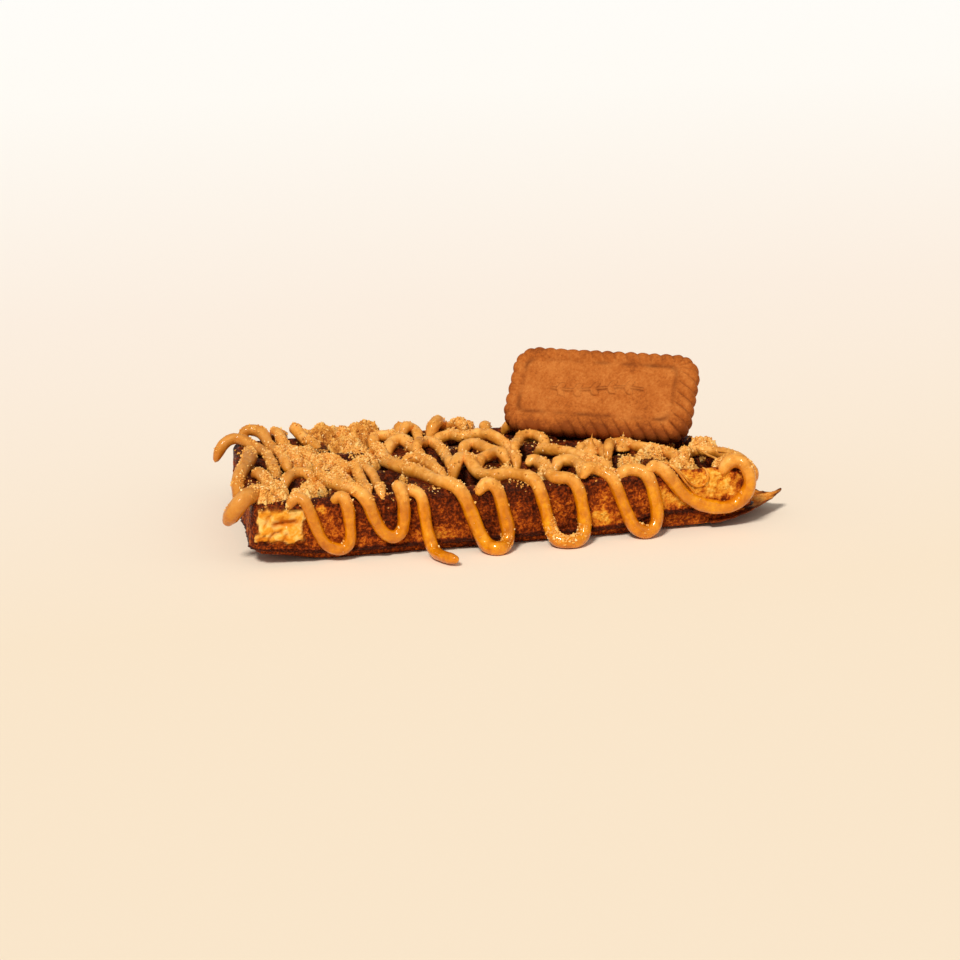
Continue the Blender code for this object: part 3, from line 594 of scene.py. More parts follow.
flap = {
    # lines where it leaves the waffle and where it ends, from the front to the right end
    "root": [(61, -34.5, 3.4), (67, -33.5, 4.0), (70.5, -31.5, 4.8), (70.5, -27, 5.2), (69, -18, 5.2),
             (67, -4, 5.2)],
    "edge": [(61, -38.4, 2.2), (66, -38.6, 2.7), (71, -38.6, 4.0), (76.4, -35.6, 4.8), (80.8, -32.2, 5.3),
             (84.6, -29, 5.8), (88.8, -25, 6.9), (86.4, -21.5, 4.9), (83.4, -16.5, 4.7), (79, -10, 4.7),
             (72.5, -3.5, 4.6)],
    "along": 110, "across": 18, "thick": 1.7, "thinning": 0.82, "dish": 1.1,
}


def lineThrough(points, share):
    last = len(points) - 1
    k = min(last - 1, int(share * last))
    near = [Vector(points[min(last, max(0, k + step))]) for step in (-1, 0, 1, 2)]
    return curveAt(*near, share * last - k)


def buildFlap():
    verts, gold, layers = [], [], []
    along, across = flap["along"], flap["across"]
    for top in (True, False):
        rows = []
        for j in range(along + 1):
            s = j / along
            root, edge = lineThrough(flap["root"], s), lineThrough(flap["edge"], s)
            ragged = 0.7 * wave(edge.x, edge.y, 0, 2.6, 2) + 0.45 * wave(edge.x, edge.y, 0, 0.9, 4)
            edge += (edge - root).normalized() * ragged * smoothStep(0.0, 0.2, s) * smoothStep(1.0, 0.8, s)
            rows.append(list(range(len(verts), len(verts) + across + 1)))
            for i in range(across + 1):
                t = i / across
                spot = root.lerp(edge, t)
                spot.z -= flap["dish"] * math.sin(math.pi * t) * smoothStep(0.25, 0.5, s)
                spot.z += 0.3 * wave(spot.x, spot.y, 0, 2.2, 6) * t
                spot.z += 0.15 * wave(spot.x, spot.y, 1 if top else -1, 0.8, 3)
                if not top:
                    spot.z -= flap["thick"] * (1.0 - flap["thinning"] * t ** 1.6)
                verts.append(spot)
                reach = t + 0.22 * wave(spot.x, spot.y, 0, 2.5, 9)
                gold.append(smoothStep(0.28, 0.42, s) * smoothStep(1.06, 0.8, reach) if top else 0.0)
        layers.append(rows)
    faces = sheetFaces(layers[0]) + sheetFaces(layers[1])
    faces += ringFaces(sheetBorder(layers[0]), sheetBorder(layers[1]))
    made = addMesh("burntFlap", verts, faces)
    paintPoints(made, "gold", gold)
    return made


def burntMaterial():
    shade = Shade("burntBatter", Roughness=0.6, Specular_IOR_Level=0.14, Specular_Tint=(1.0, 0.7, 0.45, 1.0))
    broad = shade.noise(3.0, 4.0, 0.6)
    fine = shade.noise(0.7, 4.0, 0.65)
    burnt = shade.ramp(broad * 0.65 + fine * 0.35, [
        (0.38, srgb(58, 18, 7)), (0.52, srgb(112, 44, 12)), (0.66, srgb(180, 86, 26)),
    ])
    golden = shade.ramp(broad * 0.5 + fine * 0.5, [
        (0.34, srgb(160, 72, 10)), (0.45, srgb(222, 126, 30)), (0.57, srgb(250, 176, 78)),
        (0.70, srgb(255, 212, 130)),
    ])
    shade.feed("Base Color", shade.blend(shade.painted("gold"), burnt, golden))
    shade.feed("Normal", shade.bump(fine, 0.5, 0.3))
    return shade.material


burntFlap = buildFlap()
burntFlap.data.materials.append(burntMaterial())
print("flap")


# Strands of spread

strand = {
    "radius": 2.05, "sides": 18, "taper": 3.6, "tipSize": 0.6, "cap": 1.3,
    # steps along it: of the curve between two knots, while it is laid, and of the finished tube
    "curveSteps": 12, "layStep": 1.5, "step": 0.6,
    # how it lies: in the ribs, down into pockets, over the edges, and over other strands
    "bedded": 0.62, "sag": 1.9, "edgeRound": 2.6, "edgeInset": 0.6, "floorClear": 2.05, "sink": 2.3,
    "crossWithin": 1.7, "crossOver": 1.35, "highest": 5.4, "steepest": 0.55,
    "threadSize": 0.19, "threadStep": 0.5, "backLoops": 7, "backPitch": 20.0,
}


def foldOver(s, half):
    # a place along or across, folded round the edge: where it comes to lie, how far down, how much turned
    side = math.copysign(1.0, s)
    past = abs(s) - half
    edge = strand["edgeRound"]
    if past <= -edge:
        return s, 0.0, 0.0
    if past >= edge:
        return side * half, past, 1.0
    k = (past + edge) / (2.0 * edge)
    return side * (half - edge * (1.0 - k) ** 2), edge * k * k, k


def onWaffle(u, w, lift):
    # u and w run along and across the top and on down the walls, and lift stands off the crust
    inset = strand["edgeInset"]
    x, dropX, turnX = foldOver(u, (rightEdge(w) if u > 0 else leftEdge(w)) - inset)
    y, dropY, turnY = foldOver(w, (backEdge(u) if w > 0 else body["halfWidth"]) - inset)
    quarter = math.pi / 2.0
    flat = min(math.cos(turnX * quarter), math.cos(turnY * quarter))
    normal = Vector((math.copysign(math.sin(turnX * quarter), u),
                     math.copysign(math.sin(turnY * quarter), w), flat)).normalized()
    spot = Vector((x, y, body["height"] - dropX - dropY)) + normal * lift
    if spot.z < strand["floorClear"]:
        out = strand["floorClear"] - spot.z
        if dropY > dropX:
            spot.y += math.copysign(out, w)
        else:
            spot.x += math.copysign(out, u)
        spot.z = strand["floorClear"]
    return spot


def smoothPath(knots, step):
    # a smooth curve through the knots, cut into even steps
    ends = [2 * knots[0] - knots[1]] + knots + [2 * knots[-1] - knots[-2]]
    fine = []
    for near in zip(ends, ends[1:], ends[2:], ends[3:]):
        for k in range(strand["curveSteps"]):
            fine.append(curveAt(*near, k / strand["curveSteps"]))
    fine.append(knots[-1])
    along = [0.0]
    for a, b in zip(fine, fine[1:]):
        along.append(along[-1] + (b - a).length)
    count = max(3, round(along[-1] / step))
    places, k = [], 0
    for i in range(count + 1):
        want = along[-1] * i / count
        while k < len(along) - 2 and along[k + 1] < want:
            k += 1
        part = (want - along[k]) / max(1e-6, along[k + 1] - along[k])
        places.append(fine[k].lerp(fine[k + 1], min(1.0, part)))
    return places


def pocketDip(u, w):
    # 0 over a rib, 1 over the middle of a pocket
    if abs(u) > body["halfLength"] - 4 or abs(w) > body["halfWidth"] - 4:
        return 0.0
    return (math.sin(math.pi * u / body["pitchLong"]) * math.cos(math.pi * w / body["pitchAcross"])) ** 2


def settle(places, radius, lean, laid):
    # how high a strand lies at each place: on the ribs, down in the pockets, over strands laid before
    lifts = []
    reach, highest = strand["crossWithin"] * radius, strand["highest"]
    for spot in places:
        lift = strand["bedded"] * radius - strand["sag"] * pocketDip(spot.x, spot.y) + spot.z
        drop = max(-spot.y - body["halfWidth"], spot.y - backEdge(spot.x), -spot.x - body["halfLength"],
                   spot.x - rightEdge(spot.y), 0.0)
        lift += lean * min(1.0, drop / body["height"]) ** 2
        for other, height in laid:
            away = (spot.xy - other.xy).length
            if away < reach:
                lift = max(lift, height + strand["crossOver"] * radius * math.sqrt(1.0 - (away / reach) ** 2))
        if not drop:
            lift = min(lift, highest + 0.25 * max(0.0, lift - highest))
        lifts.append(lift)
    gaps = [(b.xy - a.xy).length for a, b in zip(places, places[1:])]
    for order in (range(1, len(lifts)), range(len(lifts) - 2, -1, -1)):
        for i in order:
            near = i - order.step
            lifts[i] = max(lifts[i], lifts[near] - strand["steepest"] * gaps[min(i, near)])
    return lifts


def backLoops():
    # loops over the back edge like those in front, in the form of the lists that follow
    rows = []
    draw = random.Random(11)
    for number in range(strand["backLoops"]):
        middle = strand["backPitch"] * (number - 3) - 3.0 + draw.uniform(-2.0, 2.0)
        deep = draw.uniform(9.0, 15.5)
        half = draw.uniform(4.0, 5.0)
        edge = backEdge(middle)
        foot = edge + deep
        rows.append((1.0, 0.8, [
            (middle - 8, edge - 5), (middle - 8.4, edge - 1.5), (middle - 7.2, edge + 3),
            (middle - half, foot - half), (middle - 0.62 * half, foot - 0.3 * half),
            (middle + 0.1 * half, foot), (middle + 0.75 * half, foot - 0.35 * half),
            (middle + half, foot - half), (middle + 4.6, edge + 2), (middle + 3.8, edge - 2.5),
            (middle + 2.4, edge - 6),
        ]))
    return rows


# The strands on the top and over its left end, in the order they were laid:
# thickness, lean away from the wall, places as along, across and extra lift
topStrands = [
    (0.9, 0.8, [(12, 30), (17, 25), (28, 18.5), (40, 12.5), (52, 4), (61, -3)]),
    (0.85, 0.8, [(16, 28), (25, 24), (38, 18), (50, 9.5), (58, 4.5)]),
    (0.95, 0.8, [(-56, 35, 4.6), (-54.5, 31.5), (-53, 28.5), (-51, 23.5), (-48, 22.5)]),
    (0.95, 0.8, [(-13, 25.5), (-10.5, 28.5), (-6.5, 35, 0.5), (-4, 34.5), (-2, 30), (-0.5, 25.5)]),
    (0.9, 0.8, [(-21.5, 27.5), (-19.5, 30), (-17.5, 32), (-16, 31), (-16.5, 23.5)]),
    (0.95, 0.8, [(-13, 21.5), (-10, 23), (-6, 24), (-3, 17.5), (1.5, 19.5), (5, 18), (6.5, 11)]),
    (0.9, 0.8, [(-32, 20.5), (-30, 27), (-28, 27), (-25.5, 25.5), (-24, 21), (-22.5, 17.5)]),
    (0.95, 0.8, [(-29.5, 8), (-27, 14), (-24, 15.5), (-22, 13), (-21, 7), (-20, -1.5)]),
    (0.9, 0.8, [(-22, 0.6), (-16, 14.5), (-13.5, 12), (-12.5, 6.5), (-12, 1), (-13.5, -14)]),
    (0.9, 0.8, [(-2, 16), (2, 15), (5, 9), (8, 5.5), (8.5, -1), (6, -17.5)]),
    (0.9, 0.8, [(-7, 3), (-4.5, 7), (-2, 8.5), (0, 4), (1.5, -0.5), (3.5, -3.5), (3, -16)]),
    (0.9, 0.8, [(-6, -16), (-3, -10), (0, -10.5), (1.5, -15.5), (3, -19.5)]),
    (0.95, 0.8, [(-27.5, -6.5), (-24.5, -4), (-21.5, -5.5), (-20, -11.5), (-19, -18), (-18, -25.5)]),
    (0.85, 0.8, [(8, -6), (13.5, 10.5), (16.5, 14.5), (19, 14.5), (20.5, 10), (21, 3)]),
    (0.95, 0.8, [(16.5, 2), (19, -2.5), (21.5, -7.5), (24.5, -12), (26.5, -16.5), (28, -21),
                 (30.5, -24.5), (31.5, -31)]),
    (0.9, 0.8, [(16.5, -21.5), (19, -18.5), (21.5, -18.5), (23.5, -21.5), (23.5, -27), (22, -35.5)]),
    (0.8, 0.8, [(28, -6.5), (33, 1), (36, 4.5), (37, 0), (34.5, -14.5), (35, -20)]),
    (0.85, 0.8, [(34, -20), (41, -1), (44, 0), (45.5, -5), (47, -10.5), (50.5, -13.5), (53, -16.5),
                 (54.5, -20.5), (55.5, -26)]),
    (0.9, 0.8, [(55, -30), (60.5, -18.5), (64, -17), (68, -19.5), (70.5, -24.5), (72, -32), (72, -36.5),
                (74, -39), (74.5, -42)]),
    (0.85, 0.8, [(-65.5, -18), (-63, -13.5), (-60.5, -10.5), (-57.5, -11), (-56, -15.5)]),
    (0.85, 0.8, [(-62.6, 36, 1), (-60.8, 32, 0.4), (-59.4, 24), (-58.2, 14), (-57.4, 4)]),
    (0.95, 0.8, [(-53.5, -5.5), (-51.5, 0.5), (-49, 2), (-47, -1), (-45.5, -8), (-44, -12.5)]),
    (0.78, 0.8, [(-46, -13), (-43.5, -13), (-42.5, -18.5), (-42, -26), (-43, -36.5)]),
    (0.75, 0.8, [(-40, -0.5), (-39, -10), (-38, -17), (-38, -25.5), (-39, -37.5)]),
    (0.9, 0.8, [(-72.9, 35.6, 1.2), (-71.2, 35.8, 2.2), (-68.8, 36, 2.7), (-66.6, 35.6, 2.2),
                (-65, 32.5, 1.4), (-64.3, 28, 0.9), (-62.9, 19, 0.4), (-61.9, 10), (-61.2, 2)]),
    (1.1, 0.0, [(-71.3, 20), (-71.6, 15), (-72.5, 8.5), (-74, 1, 0.3), (-75.4, -4.5, 0.4),
                (-76.9, -8, 0.5), (-78.6, -11, 0.3), (-81, -14, 0.3), (-84, -17, 0.3)]),
    (0.85, 0.0, [(-79.8, 29.8, 5.2), (-78.4, 30, 4.5), (-76.9, 30.2, 3.4),
                 (-75.4, 30.8, 2.3), (-73.8, 31.3, 1.2), (-71.3, 29, 0.7), (-69.1, 25.6, 0.7),
                 (-67.1, 21.2, 0.3), (-66.2, 13, -0.2), (-65.9, 2), (-65.9, -8)]),
    (0.9, 0.0, [(-73.2, -6.9, 0.8), (-71.6, -9.7, 0.6), (-70.2, -14.2), (-69.7, -20), (-69.8, -24)]),
    (1.15, 0.0, [(-71.5, -28, 0.3), (-73, -30), (-75.2, -33, 0.3), (-76.9, -35.8, 1.3),
                 (-78.9, -35.5, 2.2), (-81.4, -34.5, 4.3), (-83.2, -34, 5.8)]),
]

# The strands that hang over the front, each down and up again
frontStrands = [
    (0.88, 7.0, [(-34.5, -36.5), (-31, -36.5), (-28, -38), (-27, -42), (-26.5, -48), (-25.5, -53),
                 (-23.5, -57.5), (-20, -62)]),
    (0.86, 0.6, [(-67, -37.5), (-64.5, -36), (-62, -36.5), (-60, -41), (-58.5, -45.5), (-56.5, -50),
                 (-53.5, -52), (-50.5, -52.3), (-48.7, -49.5), (-48.8, -45), (-49.3, -39.5), (-51, -36.5),
                 (-54, -35.5)]),
    (0.93, 0.6, [(-57, -19), (-54.5, -18), (-51, -26), (-48.5, -31), (-46, -36.5), (-43.5, -39),
                 (-41.5, -44), (-39, -48.5), (-36.5, -50), (-34.3, -49.3), (-33, -46), (-33, -40.5),
                 (-34.2, -36.5), (-35, -35)]),
    (1.0, 6.0, [(-34.5, 10.5), (-32, 6), (-31, -7.5), (-27, -17), (-24, -23), (-20.5, -32.5),
                (-17, -36.5), (-14.5, -40.5), (-12.5, -46), (-11, -50.5), (-8.5, -54.8), (-6, -55.8),
                (-3.3, -53.4), (-2.5, -50), (-3.3, -45), (-4.5, -39.5), (-6.5, -36.5),
                (-9.6, -36.6, -0.6), (-11.4, -37.4, -0.6)]),
    (0.98, 7.0, [(-15, -21), (-12, -16), (-9, -12.3), (-7.5, -22), (-4, -30), (1, -29.5), (5, -34),
                 (7.5, -38.5), (9.2, -45), (10.3, -51.5), (12.5, -54.3), (15.5, -55), (18.5, -54.3),
                 (20.5, -51.5), (20.5, -45), (19.3, -39.5), (16.5, -36.5), (12.5, -35.5), (13.5, -24),
                 (12.5, -15.5), (9, -17)]),
    (0.95, 5.0, [(20.5, -36.5), (26, -35), (29.5, -37), (31.5, -41), (33.5, -46.5), (35.5, -51.5),
                 (38, -53.7), (40.5, -54), (42.7, -52), (43.5, -48), (42.5, -41.5), (40.5, -37),
                 (37.5, -35), (34.4, -34.9, -0.4), (31.6, -35.6, -0.8)]),
    (1.0, 0.8, [(40, -36.5), (45, -36.5), (48.5, -39.5), (52.5, -44.5), (57.5, -47.5), (64, -49.2),
                (68.5, -48.5), (71.7, -45.3), (72.3, -40), (70, -36.8), (66.5, -36), (64, -37)]),
]


# Fine threads over the right end, as along, across and lift off the crust
threads = [
    [(46.4, -33.0, 2.4), (48.6, -34.6, 2.0), (50.2, -36.4, 1.6), (52.2, -38.6, 1.0), (54.4, -41.0, 0.7),
     (56.6, -42.2, 0.6), (58.8, -41.8, 0.6), (60.0, -39.9, 0.6), (59.8, -37.6, 0.5), (59.0, -35.5, 0.4)],
    [(45.6, -34.0, 2.6), (48.0, -36.2, 3.0), (50.4, -38.0, 2.2), (52.6, -40.2, 1.2), (54.4, -42.4, 0.9),
     (56.0, -44.6, 1.4), (57.4, -46.0, 1.6)],
    [(68.0, -24.0, 1.6), (70.0, -27.4, 2.0), (71.4, -31.0, 2.4), (71.8, -34.6, 2.0), (71.4, -38.0, 1.6)],
    [(62.4, -19.0, 2.2), (64.6, -24.0, 0.8), (65.6, -28.0, 0.7), (66.0, -32.0, 0.9), (65.8, -35.8, 1.6)],
]

# Pulled-up tips of spread in front of the biscuit: foot, tip, radius at the foot
pulledTips = [
    ((30.9, -10.6, 18.9), (31.9, -10.4, 25.0), 3.0),
    ((42.2, -7.4, 18.4), (42.9, -7.4, 24.0), 2.9),
]


def relax(values, rounds):
    # evens out what jumps from one value to the next
    for _ in range(rounds):
        inner = [(a + 2 * b + c) / 4 for a, b, c in zip(values, values[1:], values[2:])]
        values = [values[0]] + inner + [values[-1]]
    return values


def layStrands():
    # the middle line of each strand, with its share of the full thickness
    laid, spines = [], []
    for size, lean, knots in backLoops() + topStrands + frontStrands:
        places = smoothPath([Vector((*k, 0.0)[:3]) for k in knots], strand["layStep"])
        lifts = settle(places, strand["radius"], lean, laid)
        laid.extend(zip(places, lifts))
        lower = (1.0 - size) * strand["radius"] * 0.9
        spots = [onWaffle(p.x, p.y, lift - lower) for p, lift in zip(places, relax(lifts, 2))]
        spots = smoothPath(relax(spots, 1), strand["step"])
        last = len(spots) - 1
        endLength = min(4.0, 0.3 * last * strand["step"])
        for i, spot in enumerate(spots):
            toEnd = min(i, last - i) * strand["step"]
            onTop = smoothStep(body["height"] - 1.5, body["height"] + 0.5, spot.z)
            spot.z -= strand["sink"] * onTop * (1.0 - smoothStep(0.0, endLength, toEnd))
        spines.append((size, spots))
    for rows in threads:
        spots = smoothPath([onWaffle(*row) for row in rows], strand["threadStep"])
        spines.append((strand["threadSize"], spots))
    return spines


def endShare(toEnd):
    # a strand gets thinner toward its ends and closes with a round cap
    taper = strand["tipSize"] + (1.0 - strand["tipSize"]) * smoothStep(0.0, strand["taper"], toEnd)
    cap = math.sqrt(max(0.0, 1.0 - (1.0 - min(1.0, toEnd / strand["cap"])) ** 2))
    return max(0.1, cap) * taper


def addTips(verts, faces):
    sides, levels = strand["sides"], 16
    for foot, tip, radius in pulledTips:
        rings = []
        for i in range(levels + 1):
            t = i / levels
            middle = Vector(foot).lerp(Vector(tip), t ** 0.9)
            wide = radius * (1.0 - t) ** 2.1 + 0.16 * (1.0 - t) + 0.07
            rings.append(list(range(len(verts), len(verts) + sides)))
            for k in range(sides):
                angle = math.tau * k / sides
                out = Vector((math.cos(angle), math.sin(angle), 0.0))
                wobble = 1.0 + 0.2 * wave(3 * out.x, 3 * out.y, 2 * t, 1.6, foot[0])
                verts.append(middle + wobble * wide * out)
        for lower, upper in zip(rings, rings[1:]):
            faces += ringFaces(lower, upper)
        faces += [rings[0], rings[-1]]


def buildStrands():
    verts, faces = [], []
    sides = strand["sides"]
    for number, (size, spots) in enumerate(layStrands()):
        last = len(spots) - 1
        directions = [(spots[min(last, i + 2)] - spots[max(0, i - 2)]).normalized() for i in range(last + 1)]
        side = directions[0].cross(Vector((0, 0, 1)))
        if side.length < 0.2:
            side = directions[0].cross(Vector((1, 0, 0)))
        side.normalize()
        rings = []
        for i, (spot, along) in enumerate(zip(spots, directions)):
            side = (side - along * side.dot(along)).normalized()
            other = along.cross(side)
            swell = 1.0 + 0.16 * wave(*spot, 8, number) + 0.07 * wave(*spot, 2.8, 3)
            radius = size * strand["radius"] * endShare(min(i, last - i) * strand["step"]) * swell
            rings.append(list(range(len(verts), len(verts) + sides)))
            for k in range(sides):
                angle = math.tau * k / sides
                reach = side * math.cos(angle) * radius + other * math.sin(angle) * radius
                reach *= 1.0 + 0.05 * wave(*(spot + reach * 2), 2.4, 6)
                verts.append(spot + reach)
        for lower, upper in zip(rings, rings[1:]):
            faces += ringFaces(lower, upper)
        for ring, spot, out in ((rings[0], spots[0], -directions[0]), (rings[-1], spots[-1], directions[-1])):
            faces += fanFaces(ring, len(verts))
            verts.append(spot + out * strand["radius"] * 0.05)
    addTips(verts, faces)
    return addMesh("spreadStrands", verts, faces)


def spreadMaterial():
    shade = Shade("caramelSpread", Specular_IOR_Level=0.3, Specular_Tint=(1.0, 0.7, 0.3, 1.0),
                  Coat_Roughness=0.08, Coat_Tint=(1.0, 0.9, 0.62, 1.0),
                  Subsurface_Weight=0.05, Subsurface_Radius=(1.0, 0.4, 0.06), Subsurface_Scale=0.001)
    dusty = shade.painted("upper")
    broad = shade.noise(8.0, 3.0, 0.5)
    streak = shade.noise(2.0, 4.0, 0.6, 0.4)
    mixed = broad * 0.55 + streak * 0.45
    hang = shade.ramp(mixed, [
        (0.34, srgb(186, 102, 0)), (0.50, srgb(218, 132, 2)), (0.66, srgb(242, 164, 18)),
    ])
    flat = shade.ramp(mixed, [
        (0.34, srgb(206, 130, 44)), (0.50, srgb(233, 160, 72)), (0.66, srgb(252, 188, 104)),
    ])
    # painted shade: the sides of the hanging legs turned away from the front are a deeper amber
    hang = shade.blend(0.55 * shade.painted("side"), hang, srgb(170, 82, 0))
    colour = shade.blend(dusty, hang, flat)
    # painted shade: the strands toward the left end are darker
    shade.feed("Base Color", shade.blend(0.5 * shade.painted("brown"), colour, srgb(182, 106, 36)))
    fine = shade.noise(0.7, 3.0, 0.6)
    shade.feed("Roughness", 0.2 + 0.22 * dusty + 0.12 * streak)
    shade.feed("Coat Weight", 0.75 - 0.6 * dusty ** 1.6)
    lumps = shade.bump(streak, 0.36, 0.7)
    shade.feed("Normal", shade.bump(fine * dusty, 0.3, 0.25, lumps))
    return shade.material


def upperShare(spot, facing):
    # 1 on the upper side of what lies on top, 0 on what hangs
    return smoothStep(13.5, 19.5, spot.z) * (0.55 + 0.45 * smoothStep(-0.2, 0.7, facing.z))


spreadStrands = buildStrands()
spreadStrands.data.materials.append(spreadMaterial())
# the top is pale and dull; painted shade makes the hanging legs a deeper amber on the sides turned away from
# the front, and the left end darker
paintByRule(spreadStrands, "upper", upperShare)
paintByRule(spreadStrands, "side", lambda spot, facing: smoothStep(0.35, 0.95, 1.0 + facing.y))
paintByRule(spreadStrands, "brown", lambda spot, facing: smoothStep(-52.0, -74.0, spot.x))
print("strands", len(spreadStrands.data.polygons), "faces")


# Crumbs: low heaps with loose grains on them, on the strands and on the crust

crumbs = {
    # heaps: along, across, half sizes, height over their ground
    "heaps": [
        (-55.5, 13, 6.5, 8.5, 2.5), (-50, 1, 6, 7, 2.5), (-47.5, -12, 5, 7, 2.0), (-55, -19, 4.5, 4.5, 1.6),
        (-33, 31.5, 7.5, 4.6, 5.6), (-46.5, 33, 6.5, 3.6, 4.8), (-40, 25, 5, 5, 2.6),
        (-70, -30.5, 5.5, 4.6, 3.4), (-72.5, -33, 3.6, 3.4, 4.4), (-68, -20, 3.5, 6, 1.6),
        (-61, -30, 4.5, 4.5, 2.0), (-38, 15, 5, 6, 1.8), (-36, 5, 4, 5, 1.4), (2, -23, 4, 3.2, 2.0),
        (12.5, -28, 3.2, 3.2, 1.8), (28, -24, 3.6, 3.6, 1.6), (49.5, -17.5, 6, 3.6, 3.2),
        (66, -14.5, 6, 3.8, 4.4), (55, -28.5, 4.5, 3.6, 2.2), (-20, -9, 3.5, 3.5, 1.3),
        (-26, -16, 3.5, 3, 1.2), (21, 22, 5, 4.5, 1.4), (-2, 29.5, 4.5, 3.5, 1.6), (-24, 22, 4, 4, 1.4),
        (40, -22, 3.5, 3, 1.4), (65.8, -34.0, 3.0, 2.3, 3.8), (30.5, -33.5, 2.6, 1.8, 2.4),
        (23.6, -32.6, 2.8, 2.2, 3.4),
    ],
    # how far below the top of the ribs their domes start and their undersides lie
    "ground": 0.7, "foot": 3.4, "ringStep": 0.42,
    # grains: how many on a square mm, and their size
    "heapDensity": 3.4, "strandDensity": 5.0, "crustDensity": 0.8, "smallest": 0.2, "largest": 0.54,
}


def heapShare(x, y):
    # 1 on a heap, 0 away from them
    most = 0.0
    for along, across, halfX, halfY, height in crumbs["heaps"]:
        away = math.hypot((x - along) / halfX, (y - across) / halfY)
        most = max(most, smoothStep(1.4, 0.6, away + 0.35 * wave(x, y, 0, 2.6, 51)))
    return most


def buildHeaps():
    # each heap is a low dome broken up by lumps, so that the crust shows between them
    verts, faces, pale = [], [], []
    ground, foot = body["height"] - crumbs["ground"], body["height"] - crumbs["foot"]
    for number, (along, across, halfX, halfY, height) in enumerate(crumbs["heaps"]):
        count = max(8, round(max(halfX, halfY) / crumbs["ringStep"]))
        spokes = 6 * count
        rings = []
        for top, shares in ((True, [k / count for k in range(1, count + 1)]), (False, [1.0])):
            for t in shares:
                rings.append(list(range(len(verts), len(verts) + spokes)))
                for k in range(spokes):
                    angle = math.tau * k / spokes
                    ragged = 1.0 + 0.4 * wave(3 * math.cos(angle), 3 * math.sin(angle), number, 1.2, 61)
                    x = along + halfX * t * ragged * math.cos(angle)
                    y = across + halfY * t * ragged * math.sin(angle)
                    lump = 1.5 * wave(x, y, 0, 3.2, 62) + 1.1 * wave(x, y, 0, 1.5, 63)
                    lump += 0.9 * abs(wave(x, y, 0, 0.9, 65))
                    dome = height * (1.0 - t ** 2.0) - 1.4 * t ** 3
                    verts.append((x, y, ground + dome + lump if top else foot))
                    # painted light and shade: paler on the lumps, darker between them and on the heaps toward
                    # the back
                    pale.append(0.5 + 0.8 * lump - 0.5 * smoothStep(16, 27, y))
            faces += fanFaces(rings[0] if top else rings[-1], len(verts))
            verts.append((along, across, ground + height if top else foot))
            pale.append(0.5)
        for lower, upper in zip(rings, rings[1:]):
            faces += ringFaces(lower, upper)
    made = addMesh("crumbHeaps", verts, faces)
    paintPoints(made, "pale", pale)
    return made


def grainMesh():
    # one rough grain, 1 mm in radius, that every loose crumb repeats at its own size and turn
    work = bmesh.new()
    bmesh.ops.create_icosphere(work, subdivisions=1, radius=mm)
    draw = random.Random(8)
    for v in work.verts:
        v.co *= draw.uniform(0.5, 1.35)
    mesh = bpy.data.meshes.new("grain")
    work.to_mesh(mesh)
    work.free()
    return addObject("grain", mesh)


def crumbTree():
    tree = bpy.data.node_groups.new("looseCrumbs", "GeometryNodeTree")
    for label, kind in (("Geometry", "Geometry"), ("Density", "Float"), ("Smallest", "Float"),
                        ("Largest", "Float"), ("Seed", "Int"), ("Grain", "Object"), ("Material", "Material")):
        tree.interface.new_socket(name=label, in_out="INPUT", socket_type="NodeSocket" + kind)
    tree.interface.new_socket(name="Geometry", in_out="OUTPUT", socket_type="NodeSocketGeometry")

    def add(kind, inputs=None, **settings):
        made = tree.nodes.new(kind)
        for key, value in settings.items():
            setattr(made, key, value)
        for key, value in (inputs or {}).items():
            if isinstance(value, bpy.types.NodeSocket):
                tree.links.new(value, made.inputs[key])
            else:
                made.inputs[key].default_value = value
        return made.outputs

    entry = add("NodeGroupInput")
    dust = add("GeometryNodeInputNamedAttribute", {"Name": "dust"}, data_type="FLOAT")["Attribute"]
    amount = add("ShaderNodeMath", {0: dust, 1: entry["Density"]}, operation="MULTIPLY")[0]
    points = add("GeometryNodeDistributePointsOnFaces",
                 {"Mesh": entry["Geometry"], "Density": amount, "Seed": entry["Seed"]})["Points"]
    grain = add("GeometryNodeObjectInfo", {"Object": entry["Grain"]})["Geometry"]
    turn = add("FunctionNodeRandomValue", {0: (0.0, 0.0, 0.0), 1: (math.tau, math.tau, math.tau)},
               data_type="FLOAT_VECTOR")[0]
    chance = add("FunctionNodeRandomValue", {2: 0.0, 3: 1.0, 8: 3}, data_type="FLOAT")[1]
    rare = add("ShaderNodeMath", {0: chance, 1: 2.2}, operation="POWER")[0]  # few grains are large
    size = add("ShaderNodeMapRange",
               {"Value": rare, "To Min": entry["Smallest"], "To Max": entry["Largest"]})[0]
    shape = add("FunctionNodeRandomValue", {0: (0.6, 0.6, 0.5), 1: (1.5, 1.3, 1.1), 8: 4},
                data_type="FLOAT_VECTOR")[0]
    scale = add("ShaderNodeVectorMath", {0: shape, "Scale": size}, operation="SCALE")[0]
    turned = add("FunctionNodeEulerToRotation", {0: turn})[0]
    placed = add("GeometryNodeInstanceOnPoints",
                 {"Points": points, "Instance": grain, "Rotation": turned, "Scale": scale})["Instances"]
    tone = add("FunctionNodeRandomValue", {2: 0.0, 3: 1.0, 8: 6}, data_type="FLOAT")[1]
    toned = add("GeometryNodeStoreNamedAttribute", {"Geometry": placed, "Name": "tone", "Value": tone},
                data_type="FLOAT", domain="INSTANCE")["Geometry"]
    real = add("GeometryNodeRealizeInstances", {"Geometry": toned})["Geometry"]
    dressed = add("GeometryNodeSetMaterial", {"Geometry": real, "Material": entry["Material"]})["Geometry"]
    add("NodeGroupOutput", {"Geometry": dressed})
    return tree


def scatter(name, host, tree, values):
    step = host.modifiers.new(name, "NODES")
    step.node_group = tree
    for item in tree.interface.items_tree:
        if item.in_out == "INPUT" and item.name in values:
            step[item.identifier] = values[item.name]
    bpy.context.view_layer.update()
    mesh = bpy.data.meshes.new_from_object(host.evaluated_get(bpy.context.evaluated_depsgraph_get()))
    host.modifiers.remove(step)
    return addObject(name, mesh)


